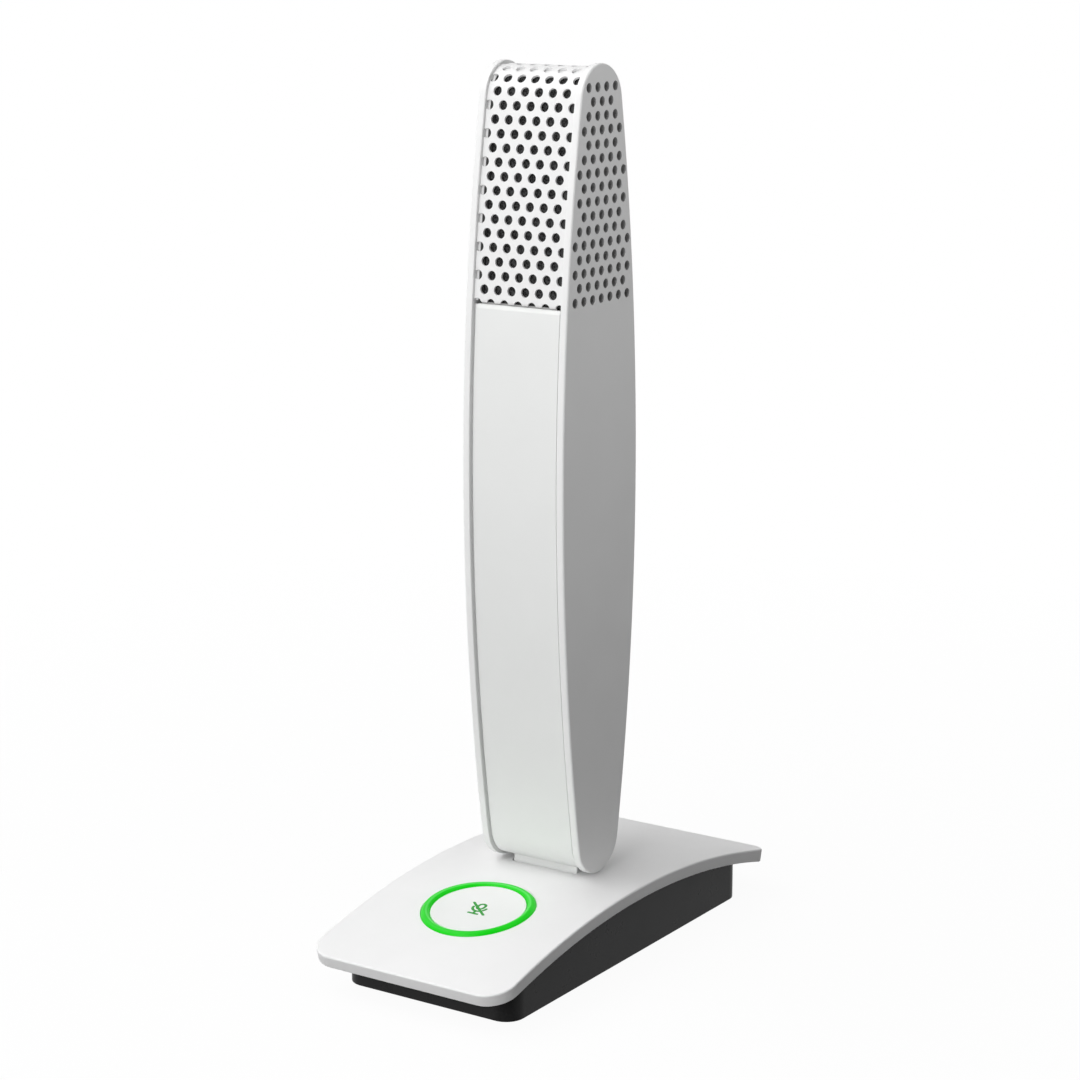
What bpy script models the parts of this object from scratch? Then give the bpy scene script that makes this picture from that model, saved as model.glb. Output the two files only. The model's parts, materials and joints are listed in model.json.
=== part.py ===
# Desktop USB microphone: a tilting column with a perforated head, on an arched base with a lit mute button.
# Metres, +Z up. The front faces -Y. The origin lies on the table, under the middle of the base.

import math

import bmesh
import bpy
from mathutils import Matrix, Vector

# Clearances
SEAT_GAP = 0.0003              # between pieces that rest on each other
RUN_GAP = 0.0005               # between pieces that move past each other
OVERRUN = 0.0010               # how far a cutter runs past what it cuts
JOIN_SINK = 0.0004             # how far a boss or rib runs into the wall that it grows from
MERGE_DISTANCE = 0.00001       # points closer than this are one point

# Base plate: an arched slab, seen from the side as an arc
PLATE_WIDTH = 0.0583
PLATE_LENGTH = 0.1332
PLATE_THICKNESS = 0.0032
PLATE_ARCH_RADIUS = 0.226
PLATE_FRONT_CORNER = 0.0084
PLATE_REAR_CORNER = 0.0018
PLATE_EDGE_FILLET = 0.0005
PLATE_END_HEIGHT = 0.010064    # of the plate's top surface above the table, at its ends
PLATE_SLICES = 10

# Base tray: the black housing under the plate
TRAY_SIDE_INSET = 0.00375      # from the plate's sides in to the tray's
TRAY_END_INSET = 0.0116        # from the plate's ends in to the tray's
TRAY_CORNER = 0.0050
TRAY_WALL = 0.0018
TRAY_FLOOR = 0.0020
TRAY_POST_RADIUS = 0.0026
TRAY_POST_SIDE_INSET = 0.0050  # from the tray's sides to its posts
TRAY_POST_END_INSET = 0.0100   # from the tray's ends to its posts
PLATE_BOSS_LENGTH = 0.0024     # how far the plate's bosses hang below its underside

# Rubber feet
FOOT_RADIUS = 0.0045
FOOT_THICKNESS = 0.0010
FOOT_PROUD = 0.0003
FOOT_SIDE_INSET = 0.0124       # from the tray's sides to the middle of a foot
FOOT_END_INSET = 0.0110        # from the tray's ends to the middle of a foot

# Screws
SCREW_RADIUS = 0.0010
SCREW_HEAD_RADIUS = 0.0019
SCREW_HEAD_HEIGHT = 0.0011
SCREW_GRIP = 0.0016            # how far a screw reaches into the piece that it holds to
SCREW_SIDES = 6

# Ballast block
BALLAST_SIDE_GAP = 0.0006      # to the tray's walls
BALLAST_END_GAP = 0.0030       # to the boards in front and behind, seen from above
BALLAST_HEIGHT = 0.0060
BALLAST_CORNER = 0.0020

# Main board and USB-C socket
BOARD_THICKNESS = 0.0016
MAIN_BOARD_SIDE_GAP = 0.0013   # to the tray's posts
MAIN_BOARD_LENGTH = 0.0290
MAIN_BOARD_HEIGHT = 0.0056     # its underside above the table
MAIN_BOARD_END_GAP = 0.0012    # to the tray's rear wall
BOARD_POST_RADIUS = 0.0021
BOARD_POST_INSET = 0.0036      # from a board's edges to its screws
SOCKET_WIDTH = 0.0090
SOCKET_HEIGHT = 0.0032
SOCKET_DEPTH = 0.0074
SOCKET_WALL = 0.0004
SOCKET_BACK = 0.0014
SOCKET_INSET = 0.0006          # from the tray's outer wall to the socket's mouth
TONGUE_WIDTH = 0.0067
TONGUE_THICKNESS = 0.0007
TONGUE_SETBACK = 0.0012        # from the socket's mouth to the tongue's tip

# Mute button, light ring and their board
RING_RADIUS = 0.01335          # of the ring's middle line
RING_TUBE_RADIUS = 0.00115
RING_SINK = 0.00035            # of the ring's middle line below the plate's surface
BUTTON_TRAVEL = 0.0008
BUTTON_DISH = 0.0003
BUTTON_TOP_WALL = 0.0014
BUTTON_SKIRT_WALL = 0.0011
BUTTON_FLANGE = 0.0008         # how far the flange reaches out past the skirt
BUTTON_FLANGE_HEIGHT = 0.0008
BUTTON_EDGE_FILLET = 0.0004
PLUNGER_RADIUS = 0.0016
PLUNGER_LENGTH = 0.0016
BUTTON_STEM_RADIUS = 0.0024
BUTTON_BOARD_ROOM = 0.00094    # from the lamps up to the pressed button's flange
BUTTON_BOARD_END_GAP = 0.0018  # from the board's front lobe to the tray's front wall
BUTTON_BOARD_THICKNESS = 0.0010
SWITCH_SIDE = 0.0062
SWITCH_HEIGHT = 0.0024
LED_COUNT = 4
RING_SEGMENTS = 24
LED_SIDE = 0.0016
LED_HEIGHT = 0.0009
BUTTON_POST_RADIUS = 0.0017
BUTTON_POST_GAP = 0.0015       # from the button's flange to the posts round it
BOARD_LOBE_RADIUS = 0.0025
BOARD_LOBE_REACH = 0.0008      # from the board's rim out to the lobes' middles
BUTTON_POST_ANGLES = (30, 150, 270)

# Neck: the fixed half of the tilt hinge
NECK_DEPTH = 0.0052
NECK_FLARE = 0.0004            # how much deeper the neck is at its foot, each side
NECK_FLARE_HEIGHT = 0.0011
NECK_FLANGE_DEPTH = 0.0120
NECK_FLANGE_THICKNESS = 0.0026
NECK_SCREW_INSET = 0.0026      # from the neck's side to a screw, and from there to the flange's end
NECK_CABLE_BORE = 0.0016       # radius of the cable's way down through the neck
PIN_RADIUS = 0.0020
WASHER_RADIUS = 0.0045
WASHER_THICKNESS = 0.00045
TILT_FORWARD = math.radians(5)
TILT_BACK = math.radians(20)

# Column: two side covers with a lens outline, and what lies between them
COLUMN_WIDTH = 0.0300
COLUMN_HALF_DEPTH = 0.0170
COLUMN_LENGTH = 0.2050
COLUMN_CLEARANCE = 0.0005      # from the base plate to the column's lower end
COLUMN_TOP_RADIUS = 0.009267   # of the column's round upper end, seen from the side
WIDEST_SHARE = 0.49805         # of the column's length, from its lower end to where it is deepest
COVER_THICKNESS = 0.00235
COVER_EDGE_FILLET = 0.00045
ARC_SEGMENTS = 10
CAP_SEGMENTS = 12
HIDDEN_SEGMENTS = 4            # of each curve on pieces inside the column

# Side cover holes
SIDE_HOLE_RADIUS = 0.0012
SIDE_HOLE_PITCH = 0.00394
SIDE_ROW_PITCH = 0.003415
SIDE_TOP_ROW_DROP = 0.0056     # from the column's top to the first row
SIDE_HOLE_MARGIN = 0.0005      # the least that is left between a hole and the cover's edge
HOLE_SIDES = 6                 # of the prisms that cut the round holes

# Grille: a thin perforated sheet bent over the top of the column
FACE_RECESS = 0.0008           # from the covers' edges to the faces between them
GRILLE_THICKNESS = 0.0006
GRILLE_LENGTH = 0.05815        # from the column's top down to the grille's lower edge
GRILLE_HOLE_RADIUS = 0.00115
GRILLE_HOLE_PITCH = 0.004023
GRILLE_ROW_PITCH = 0.00345
GRILLE_FIRST_ROW = 0.0110      # along the sheet, from the column's top to the first full front row
GRILLE_WIDE_ROW = 7            # holes in a wide row, and one fewer in the rows between
ROWS_PER_FACET = 4

# Front and rear panels
PANEL_THICKNESS = 0.0016
PANEL_SIDE_GAP = 0.0006
PANEL_TOP_GAP = 0.00035        # to the grille's lower edge
PANEL_EDGE_FILLET = 0.0003
PANEL_WRAP = math.radians(78)  # how far the panels turn in under the column, beside the neck

# Inner frame
FRAME_PLATE_THICKNESS = 0.0015
FRAME_WEB_THICKNESS = 0.0016
FRAME_HOOP_WIDTH = 0.0026
FRAME_WEB_SETBACK = 0.0020     # from the column's middle plane back to the web's front
FRAME_WEB_START = 0.0100       # from the hinge pin up to the web's lower edge
CAPSULE_POST_WIDTH = 0.0120
PEG_RADIUS = 0.0013
PEG_COUNT = 4
PEG_END_INSET = 0.0100         # from the hinge and from the panels' top to the nearest pegs

# Preamp board
PREAMP_SIDE_GAP = 0.00235      # to the frame's side plates
PREAMP_LENGTH = 0.0800
PREAMP_ABOVE_WEB = 0.0200      # from the web's lower edge to the board's
PREAMP_STANDOFF = 0.0024
CHIP_HEIGHT = 0.0014

# Capsule and foam
CAPSULE_RADIUS = 0.0072
CAPSULE_DEPTH = 0.0064
CAPSULE_RIM = 0.0012
CAPSULE_BELOW_TOP = 0.0310     # from the column's top to the capsule's centre
MOUNT_WALL = 0.0016
MOUNT_DEPTH = 0.0040
FOAM_CAVITY_ROOM = 0.0026      # from the capsule's mount up to the roof of its space
FOAM_WALL = 0.0030
LEAD_RADIUS = 0.0006

# Derived sizes and places
plate_rise = PLATE_ARCH_RADIUS - math.sqrt(PLATE_ARCH_RADIUS ** 2 - (PLATE_LENGTH / 2) ** 2)
plate_height = PLATE_END_HEIGHT + plate_rise
tray_half_width = PLATE_WIDTH / 2 - TRAY_SIDE_INSET
tray_half_length = PLATE_LENGTH / 2 - TRAY_END_INSET
tray_bottom = FOOT_PROUD
floor_top = tray_bottom + TRAY_FLOOR
post_side = tray_half_width - TRAY_POST_SIDE_INSET
post_along = tray_half_length - TRAY_POST_END_INSET
button_radius = RING_RADIUS - RING_TUBE_RADIUS - SEAT_GAP
button_post_reach = button_radius + BUTTON_FLANGE + BUTTON_POST_GAP + BUTTON_POST_RADIUS
button_board_radius = button_post_reach - BOARD_LOBE_REACH
board_front_reach = button_post_reach + BOARD_LOBE_RADIUS + BUTTON_BOARD_END_GAP
button_along = tray_half_length - TRAY_WALL - board_front_reach
column_bottom = plate_height + COLUMN_CLEARANCE
column_top = column_bottom + COLUMN_LENGTH
widest_height = column_bottom + WIDEST_SHARE * COLUMN_LENGTH
top_reach = column_top - widest_height
arc_excess = COLUMN_HALF_DEPTH ** 2 + top_reach ** 2 - 2 * COLUMN_TOP_RADIUS * top_reach
side_arc_radius = arc_excess / (2 * (COLUMN_HALF_DEPTH - COLUMN_TOP_RADIUS))
cover_inner = COLUMN_WIDTH / 2 - COVER_THICKNESS
grille_bottom = column_top - GRILLE_LENGTH
panel_top = grille_bottom - PANEL_TOP_GAP
frame_outer = cover_inner - SEAT_GAP
frame_inner = frame_outer - FRAME_PLATE_THICKNESS
neck_half_width = frame_inner - 2 * SEAT_GAP - WASHER_THICKNESS
capsule_room = CAPSULE_RADIUS + SEAT_GAP + MOUNT_WALL + SEAT_GAP


class Lens:
    """The column's shape from the side: two long arcs that meet a round cap at each end."""

    def __init__(self, half_depth, arc_radius, bottom, top):
        self.radius = arc_radius
        self.arc_centre = arc_radius - half_depth
        self.bottom_radius = self.cap_radius(widest_height - bottom)
        self.top_radius = self.cap_radius(top - widest_height)
        self.bottom_centre = bottom + self.bottom_radius
        self.top_centre = top - self.top_radius

    def cap_radius(self, reach):
        """The radius of a cap that touches both arcs and ends at this reach from the widest height."""
        return (self.radius ** 2 - self.arc_centre ** 2 - reach ** 2) / (2 * (self.radius - reach))

    def inset(self, depth):
        """The same shape, moved in by depth all round."""
        inner = Lens.__new__(Lens)
        inner.arc_centre = self.arc_centre
        inner.radius = self.radius - depth
        inner.bottom_radius = self.bottom_radius - depth
        inner.top_radius = self.top_radius - depth
        inner.bottom_centre = self.bottom_centre
        inner.top_centre = self.top_centre
        return inner

    def top_turn(self):
        """The angle above level at which the front arc meets the top cap."""
        return math.asin((self.top_centre - widest_height) / (self.radius - self.top_radius))

    def bottom_turn(self):
        """The angle below level at which the front arc meets the bottom cap."""
        return math.asin((widest_height - self.bottom_centre) / (self.radius - self.bottom_radius))

    def turn_at(self, height):
        """The angle of the front arc at a height."""
        return math.asin((height - widest_height) / self.radius)

    def front_arc(self, angle):
        y = self.arc_centre - self.radius * math.cos(angle)
        return (y, widest_height + self.radius * math.sin(angle))

    def top_cap(self, angle):
        return (-self.top_radius * math.cos(angle), self.top_centre + self.top_radius * math.sin(angle))

    def bottom_cap(self, angle):
        radius = self.bottom_radius
        return (-radius * math.cos(angle), self.bottom_centre - radius * math.sin(angle))

    def half_depth(self, height):
        return -self.front_arc(self.turn_at(height))[0]

    def over_top(self, along):
        """A point (y, z) and its outward angle, at a distance along the surface from the top to the rear."""
        cap_length = self.top_radius * (math.pi / 2 - self.top_turn())
        distance = abs(along)
        if distance <= cap_length:
            angle = math.pi / 2 - distance / self.top_radius
            y, z = self.top_cap(angle)
        else:
            angle = self.top_turn() - (distance - cap_length) / self.radius
            y, z = self.front_arc(angle)
        return (-y, z, math.pi - angle) if along > 0 else (y, z, angle)

    def along_to(self, height):
        """The distance along the surface from the top down to a height on the front arc."""
        cap_length = self.top_radius * (math.pi / 2 - self.top_turn())
        return cap_length + self.radius * (self.top_turn() - self.turn_at(height))

    def outline(self, arc_segments, cap_segments):
        """The whole outline as (y, z) points, up the front and down the rear."""
        low, high = -self.bottom_turn(), self.top_turn()
        front = [self.front_arc(angle) for angle in spread(low, high, arc_segments)]
        top = [self.top_cap(angle) for angle in spread(high, math.pi - high, cap_segments)]
        rear = [(-y, z) for y, z in reversed(front)]
        bottom = [self.bottom_cap(angle) for angle in spread(math.pi + low, -low, cap_segments)]
        return front + top[1:-1] + rear + bottom[1:-1]


def spread(start, end, segments):
    """Evenly spaced values from start to end."""
    return [start + (end - start) * step / segments for step in range(segments + 1)]


cover_lens = Lens(COLUMN_HALF_DEPTH, side_arc_radius, column_bottom, column_top)
face_lens = cover_lens.inset(FACE_RECESS)
tilt_height = cover_lens.bottom_centre
knuckle_radius = face_lens.bottom_radius - PANEL_THICKNESS - RUN_GAP


# Scene helpers

def clear_scene():
    for old in list(bpy.data.objects):
        bpy.data.objects.remove(old, do_unlink=True)


def new_collection(name):
    collection = bpy.data.collections.new(name)
    bpy.context.scene.collection.children.link(collection)
    return collection


def material(name, colour, roughness, metallic=0.0):
    made = bpy.data.materials.new(name)
    made.use_nodes = True
    shader = made.node_tree.nodes["Principled BSDF"]
    shader.inputs["Base Color"].default_value = (*colour, 1.0)
    shader.inputs["Roughness"].default_value = roughness
    shader.inputs["Metallic"].default_value = metallic
    made.diffuse_color = (*colour, 1.0)
    return made


def mesh_object(name, bm, collection):
    """Turns a bmesh into an object in a collection."""
    bmesh.ops.recalc_face_normals(bm, faces=bm.faces)
    mesh = bpy.data.meshes.new(name)
    bm.to_mesh(mesh)
    bm.free()
    made = bpy.data.objects.new(name, mesh)
    collection.objects.link(made)
    return made


def finish(made, finish_material, smooth_angle=30):
    """Gives a piece its material and its smooth shading."""
    made.data.materials.clear()
    made.data.materials.append(finish_material)
    made.data.shade_smooth()
    made.data.set_sharp_from_angle(angle=math.radians(smooth_angle))
    return made


def as_cutter(made):
    """Moves a helper shape to the cutters, where it shows as wires and isn't rendered."""
    for owner in list(made.users_collection):
        owner.objects.unlink(made)
    cutters.objects.link(made)
    made.hide_render = True
    made.display_type = "WIRE"
    return made


def boolean(target, operand, operation):
    as_cutter(operand)
    modifier = target.modifiers.new(operand.name, "BOOLEAN")
    modifier.operation = operation
    modifier.solver = "EXACT"
    modifier.object = operand
    return target


def cut(target, *operands):
    for operand in operands:
        boolean(target, operand, "DIFFERENCE")
    return target


def fuse(target, *operands):
    for operand in operands:
        boolean(target, operand, "UNION")
    return target


def weld(target):
    """Merges the points that a row of cuts leaves less than the merge distance apart."""
    modifier = target.modifiers.new("merged points", "WELD")
    modifier.merge_threshold = MERGE_DISTANCE
    return target


def add_bevel(target, width, segments=1):
    modifier = target.modifiers.new("edge fillet", "BEVEL")
    modifier.width = width
    modifier.segments = segments
    modifier.limit_method = "ANGLE"
    modifier.angle_limit = math.radians(50)
    return target


def fillet_face(made, direction, width):
    """Rounds the rim of the flat face that looks in this direction."""
    bm = bmesh.new()
    bm.from_mesh(made.data)
    face = max(bm.faces, key=lambda candidate: candidate.normal.dot(direction) * candidate.calc_area())
    bmesh.ops.bevel(bm, geom=list(face.edges), offset=width, segments=1, affect="EDGES")
    bm.to_mesh(made.data)
    bm.free()
    return made


def box(name, low, high):
    """A box between two corners."""
    bm = bmesh.new()
    bmesh.ops.create_cube(bm, size=1)
    size = Vector(high) - Vector(low)
    centre = (Vector(high) + Vector(low)) / 2
    bmesh.ops.transform(bm, matrix=Matrix.Translation(centre) @ Matrix.Diagonal((*size, 1)), verts=bm.verts)
    return mesh_object(name, bm, parts)


def add_rod(bm, start, end, radius, sides):
    """Adds a closed rod between two points to a bmesh."""
    direction = Vector(end) - Vector(start)
    turn = direction.to_track_quat("Z", "Y").to_matrix().to_4x4()
    place = Matrix.Translation((Vector(start) + Vector(end)) / 2) @ turn
    bmesh.ops.create_cone(bm, cap_ends=True, segments=sides, radius1=radius, radius2=radius,
                          depth=direction.length, matrix=place)


def rod(name, start, end, radius, sides=16):
    bm = bmesh.new()
    add_rod(bm, start, end, radius, sides)
    return mesh_object(name, bm, parts)


def rods(name, ends, radius, sides=12):
    """Several separate rods in one object."""
    bm = bmesh.new()
    for start, end in ends:
        add_rod(bm, start, end, radius, sides)
    return mesh_object(name, bm, parts)


def upright_rods(name, places, low, high, radius, sides):
    """Upright rods from one level to another, at (x, y) places."""
    return rods(name, [((x, y, low), (x, y, high)) for x, y in places], radius, sides)


def screw_taps(name, places, mouth, seat):
    """Upright holes that screws grip in, open at the mouth and deeper than the screws go from the seat."""
    end = seat + SCREW_GRIP + SEAT_GAP
    return upright_rods(name, places, mouth - OVERRUN, end, SCREW_RADIUS + SEAT_GAP, 6)


def turned(name, profile, sides=32):
    """A solid of revolution about Z, from a (radius, height) profile that runs down its outer side."""
    mesh = bpy.data.meshes.new(name)
    points = [(radius, 0, height) for radius, height in profile]
    mesh.from_pydata(points, [(i, i + 1) for i in range(len(points) - 1)], [])
    made = bpy.data.objects.new(name, mesh)
    parts.objects.link(made)
    screw = made.modifiers.new("turn", "SCREW")
    screw.angle = 2 * math.pi
    screw.steps = sides
    screw.render_steps = sides
    screw.use_merge_vertices = True
    screw.merge_threshold = MERGE_DISTANCE
    return made


def settled(made):
    """Replaces an object's modifiers by the mesh that they make."""
    graph = bpy.context.evaluated_depsgraph_get()
    mesh = bpy.data.meshes.new_from_object(made.evaluated_get(graph))
    made.modifiers.clear()
    made.data = mesh
    return made


def slab(name, points, thickness):
    """A flat outline in local XY, made as a filled curve of this thickness and turned into a mesh."""
    curve = bpy.data.curves.new(name + "_outline", "CURVE")
    curve.dimensions = "2D"
    curve.fill_mode = "BOTH"
    curve.extrude = thickness / 2
    spline = curve.splines.new("POLY")
    spline.points.add(len(points) - 1)
    for point, (x, y) in zip(spline.points, points):
        point.co = (x, y, 0, 1)
    spline.use_cyclic_u = True
    guide = bpy.data.objects.new(name + "_outline", curve)
    parts.objects.link(guide)
    graph = bpy.context.evaluated_depsgraph_get()
    mesh = bpy.data.meshes.new_from_object(guide.evaluated_get(graph))
    bpy.data.objects.remove(guide, do_unlink=True)
    bm = bmesh.new()
    bm.from_mesh(mesh)
    bpy.data.meshes.remove(mesh)
    bmesh.ops.remove_doubles(bm, verts=bm.verts, dist=MERGE_DISTANCE)
    bmesh.ops.dissolve_limit(bm, angle_limit=math.radians(0.2), verts=bm.verts, edges=bm.edges)
    return mesh_object(name, bm, parts)


def upright_slab(name, points, low, high):
    """A slab whose outline is given as (y, z), and which spans low to high along X."""
    made = slab(name, points, high - low)
    made.data.transform(Matrix(((0, 0, 1, (low + high) / 2), (1, 0, 0, 0), (0, 1, 0, 0), (0, 0, 0, 1))))
    return made


def facing_slab(name, points, front, rear):
    """A slab whose outline is given as (x, z), and which spans front to rear along Y."""
    made = slab(name, points, rear - front)
    middle = Matrix.Translation((0, (front + rear) / 2, 0))
    made.data.transform(middle @ Matrix.Rotation(math.radians(90), 4, "X"))
    return made


def level_slab(name, points, low, high):
    """A slab whose outline is given as (x, y), and which spans low to high along Z."""
    made = slab(name, points, high - low)
    made.data.transform(Matrix.Translation((0, 0, (low + high) / 2)))
    return made


def strip(name, path, width, thickness):
    """A sheet that follows a path of (y, z) points and grows inward from it."""
    bm = bmesh.new()
    left = [bm.verts.new((-width / 2, y, z)) for y, z in path]
    right = [bm.verts.new((width / 2, y, z)) for y, z in path]
    for i in range(len(path) - 1):
        bm.faces.new((left[i], right[i], right[i + 1], left[i + 1]))
    mesh = bpy.data.meshes.new(name)
    bm.to_mesh(mesh)
    bm.free()
    made = bpy.data.objects.new(name, mesh)
    parts.objects.link(made)
    solid = made.modifiers.new("sheet", "SOLIDIFY")
    solid.thickness = thickness
    solid.offset = -1
    solid.use_even_offset = True
    return made


def rounded_rectangle(half_width, half_length, front_radius, rear_radius, segments):
    """An outline in XY with its own corner radius at the front (-Y) and at the rear."""
    corners = ((1, -1, front_radius, -90), (1, 1, rear_radius, 0),
               (-1, 1, rear_radius, 90), (-1, -1, front_radius, 180))
    points = []
    for side, end, radius, start in corners:
        centre_x = side * (half_width - radius)
        centre_y = end * (half_length - radius)
        for turn in spread(start, start + 90, segments):
            angle = math.radians(turn)
            points.append((centre_x + radius * math.cos(angle), centre_y + radius * math.sin(angle)))
    return points


def stadium(half_width, half_height, segments=5):
    """A slot outline with half-round ends."""
    points = []
    for side, start in ((1, -90), (-1, 90)):
        for turn in spread(start, start + 180, segments):
            angle = math.radians(turn)
            points.append((side * (half_width - half_height) + half_height * math.cos(angle),
                           half_height * math.sin(angle)))
    return points


# Arch: the base plate's curve

def arch_point(x, along, level):
    """A place on the arch: along the plate from its middle, and level above its top surface."""
    angle = along / PLATE_ARCH_RADIUS
    reach = PLATE_ARCH_RADIUS + level
    return Vector((x, reach * math.sin(angle), plate_height - PLATE_ARCH_RADIUS + reach * math.cos(angle)))


def arch_height(y, level=0.0):
    """The height of the arch's surface, or of a surface parallel to it, at a place along Y."""
    reach = PLATE_ARCH_RADIUS + level
    return plate_height - PLATE_ARCH_RADIUS + math.sqrt(reach ** 2 - y ** 2)


def bent_slab(name, points, low, high, fillet=0.0):
    """A slab over an (x, along) outline between two levels, bent over the arch."""
    made = level_slab(name, points, low, high)
    bm = bmesh.new()
    bm.from_mesh(made.data)
    if fillet:
        rims = [edge for edge in bm.edges if abs(edge.verts[0].co.z - edge.verts[1].co.z) < fillet]
        bmesh.ops.bevel(bm, geom=rims, offset=fillet, segments=2, profile=0.5, affect="EDGES")
    half_length = max(y for x, y in points)
    for along in spread(-half_length, half_length, PLATE_SLICES)[1:-1]:
        geometry = list(bm.verts) + list(bm.edges) + list(bm.faces)
        bmesh.ops.bisect_plane(bm, geom=geometry, plane_co=(0, along, 0), plane_no=(0, 1, 0))
    for vertex in bm.verts:
        vertex.co = arch_point(*vertex.co)
    bmesh.ops.triangulate(bm, faces=bm.faces)
    bm.to_mesh(made.data)
    bm.free()
    return made


# Button frame: local Z is the plate's normal at the button, and its origin lies on the plate's surface

def button_matrix():
    angle = math.asin(button_along / PLATE_ARCH_RADIUS)
    origin = arch_point(0, -PLATE_ARCH_RADIUS * angle, 0)
    return Matrix.Translation(origin) @ Matrix.Rotation(angle, 4, "X")


def to_button(made):
    made.data.transform(button_matrix())
    return made


# Column pieces

def hole_cutter(name, places, radius, sides):
    """Prisms with the same opening area as round holes, at (start, end) places."""
    equal_area = math.sqrt(2 * math.pi / (sides * math.sin(2 * math.pi / sides)))
    return rods(name, places, radius * equal_area, sides)


def make_side_cover(name, side):
    """A lens-shaped side plate with staggered holes in its head and pegs on its inner face."""
    low, high = sorted((side * cover_inner, side * COLUMN_WIDTH / 2))
    cover = upright_slab(name, cover_lens.outline(ARC_SEGMENTS, CAP_SEGMENTS), low, high)
    fillet_face(cover, Vector((side, 0, 0)), COVER_EDGE_FILLET)
    places = [((low - OVERRUN, y, z), (high + OVERRUN, y, z)) for y, z in side_holes()]
    cut(cover, hole_cutter("cut_" + name + "_holes", places, SIDE_HOLE_RADIUS, HOLE_SIDES))
    root = side * (cover_inner + JOIN_SINK)
    tip = side * (cover_inner - SEAT_GAP - FRAME_PLATE_THICKNESS / 2)
    pegs = rods("add_" + name + "_pegs", [((root, 0, z), (tip, 0, z)) for z in peg_heights()], PEG_RADIUS, 8)
    fuse(cover, pegs)
    return finish(cover, white_plastic)


def side_holes():
    """The (y, z) places of a cover's holes: even and odd rows in turn, each with as many holes as fit."""
    row_count = math.floor((GRILLE_LENGTH - SIDE_HOLE_RADIUS - SIDE_TOP_ROW_DROP) / SIDE_ROW_PITCH) + 1
    places = []
    for row in range(row_count):
        z = column_top - SIDE_TOP_ROW_DROP - row * SIDE_ROW_PITCH
        reach = cover_lens.half_depth(z) - SIDE_HOLE_MARGIN - SIDE_HOLE_RADIUS
        count = math.floor(2 * reach / SIDE_HOLE_PITCH) + 1
        count -= (count + row) % 2
        places += [((i - (count - 1) / 2) * SIDE_HOLE_PITCH, z) for i in range(count)]
    return places


def peg_heights():
    """The heights of the pegs that hold each side cover to the frame."""
    return spread(tilt_height + PEG_END_INSET, panel_top - PEG_END_INSET, PEG_COUNT - 1)


def grille_rows():
    """The rows as (distance along the sheet from the top, holes); the sheet's front end cuts the first."""
    end = face_lens.along_to(grille_bottom)
    first_step = -round((end - GRILLE_FIRST_ROW) / GRILLE_ROW_PITCH)
    last_step = math.floor((end + GRILLE_FIRST_ROW - GRILLE_HOLE_PITCH / 2) / GRILLE_ROW_PITCH)
    return [(step * GRILLE_ROW_PITCH - GRILLE_FIRST_ROW, GRILLE_WIDE_ROW - (step + 1) % 2)
            for step in range(first_step, last_step + 1)]


def grille_path():
    """The sheet's section: short facets round the top, and long ones that end between rows elsewhere."""
    end = face_lens.along_to(grille_bottom)
    cap = face_lens.top_radius * math.pi / 2
    stops = []
    for index, (along, holes) in enumerate(grille_rows()):
        land = along + GRILLE_ROW_PITCH / 2
        if abs(along) < cap:
            stops.append(along)
        if abs(land) < cap or index % ROWS_PER_FACET == 0:
            stops.append(land)
    stops = [stop for stop in sorted(stops) if abs(stop) < end - GRILLE_HOLE_RADIUS]
    return [face_lens.over_top(stop)[:2] for stop in [-end] + stops + [end]]


def make_grille():
    """A thin sheet bent over the head, with staggered holes along its whole length."""
    width = 2 * (cover_inner - SEAT_GAP)
    grille = strip("grille", grille_path(), width, GRILLE_THICKNESS)
    places = []
    for along, count in grille_rows():
        y, z, angle = face_lens.over_top(along)
        outward = Vector((0, -math.cos(angle), math.sin(angle)))
        for i in range(count):
            middle = Vector(((i - (count - 1) / 2) * GRILLE_HOLE_PITCH, y, z))
            inner = middle - outward * (GRILLE_THICKNESS + OVERRUN)
            places.append((inner, middle + outward * OVERRUN))
    cut(grille, hole_cutter("cut_grille_holes", places, GRILLE_HOLE_RADIUS, HOLE_SIDES))
    return finish(grille, white_metal)


def make_panel(name, side):
    """The front (-1) or rear (1) face of the column, which turns in under it beside the neck."""
    top, turn = face_lens.turn_at(panel_top), face_lens.bottom_turn()
    path = [face_lens.front_arc(angle) for angle in spread(top, -turn, ARC_SEGMENTS)]
    path += [face_lens.bottom_cap(angle) for angle in spread(turn, PANEL_WRAP, CAP_SEGMENTS // 2)][1:]
    if side < 0:
        path.reverse()
    path = [(-side * y, z) for y, z in path]
    panel = strip(name, path, 2 * (cover_inner - PANEL_SIDE_GAP), PANEL_THICKNESS)
    add_bevel(panel, PANEL_EDGE_FILLET)
    cut(panel, make_neck_way("cut_" + name + "_notch"))
    return finish(panel, white_plastic)


def make_neck_way(name):
    """The room that the neck needs in the column over the whole tilt: between its faces at the limits."""
    half = NECK_DEPTH / 2 + SEAT_GAP
    points = []
    for side, limit in ((-1, TILT_FORWARD), (1, TILT_BACK)):
        face = [(side * (half * math.cos(limit) + down * math.sin(limit)),
                 tilt_height - down * math.cos(limit) + half * math.sin(limit))
                for down in (0, COLUMN_HALF_DEPTH)]
        points += face if side < 0 else reversed(face)
    half_width = neck_half_width + RUN_GAP
    return upright_slab(name, points, -half_width, half_width)


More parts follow.
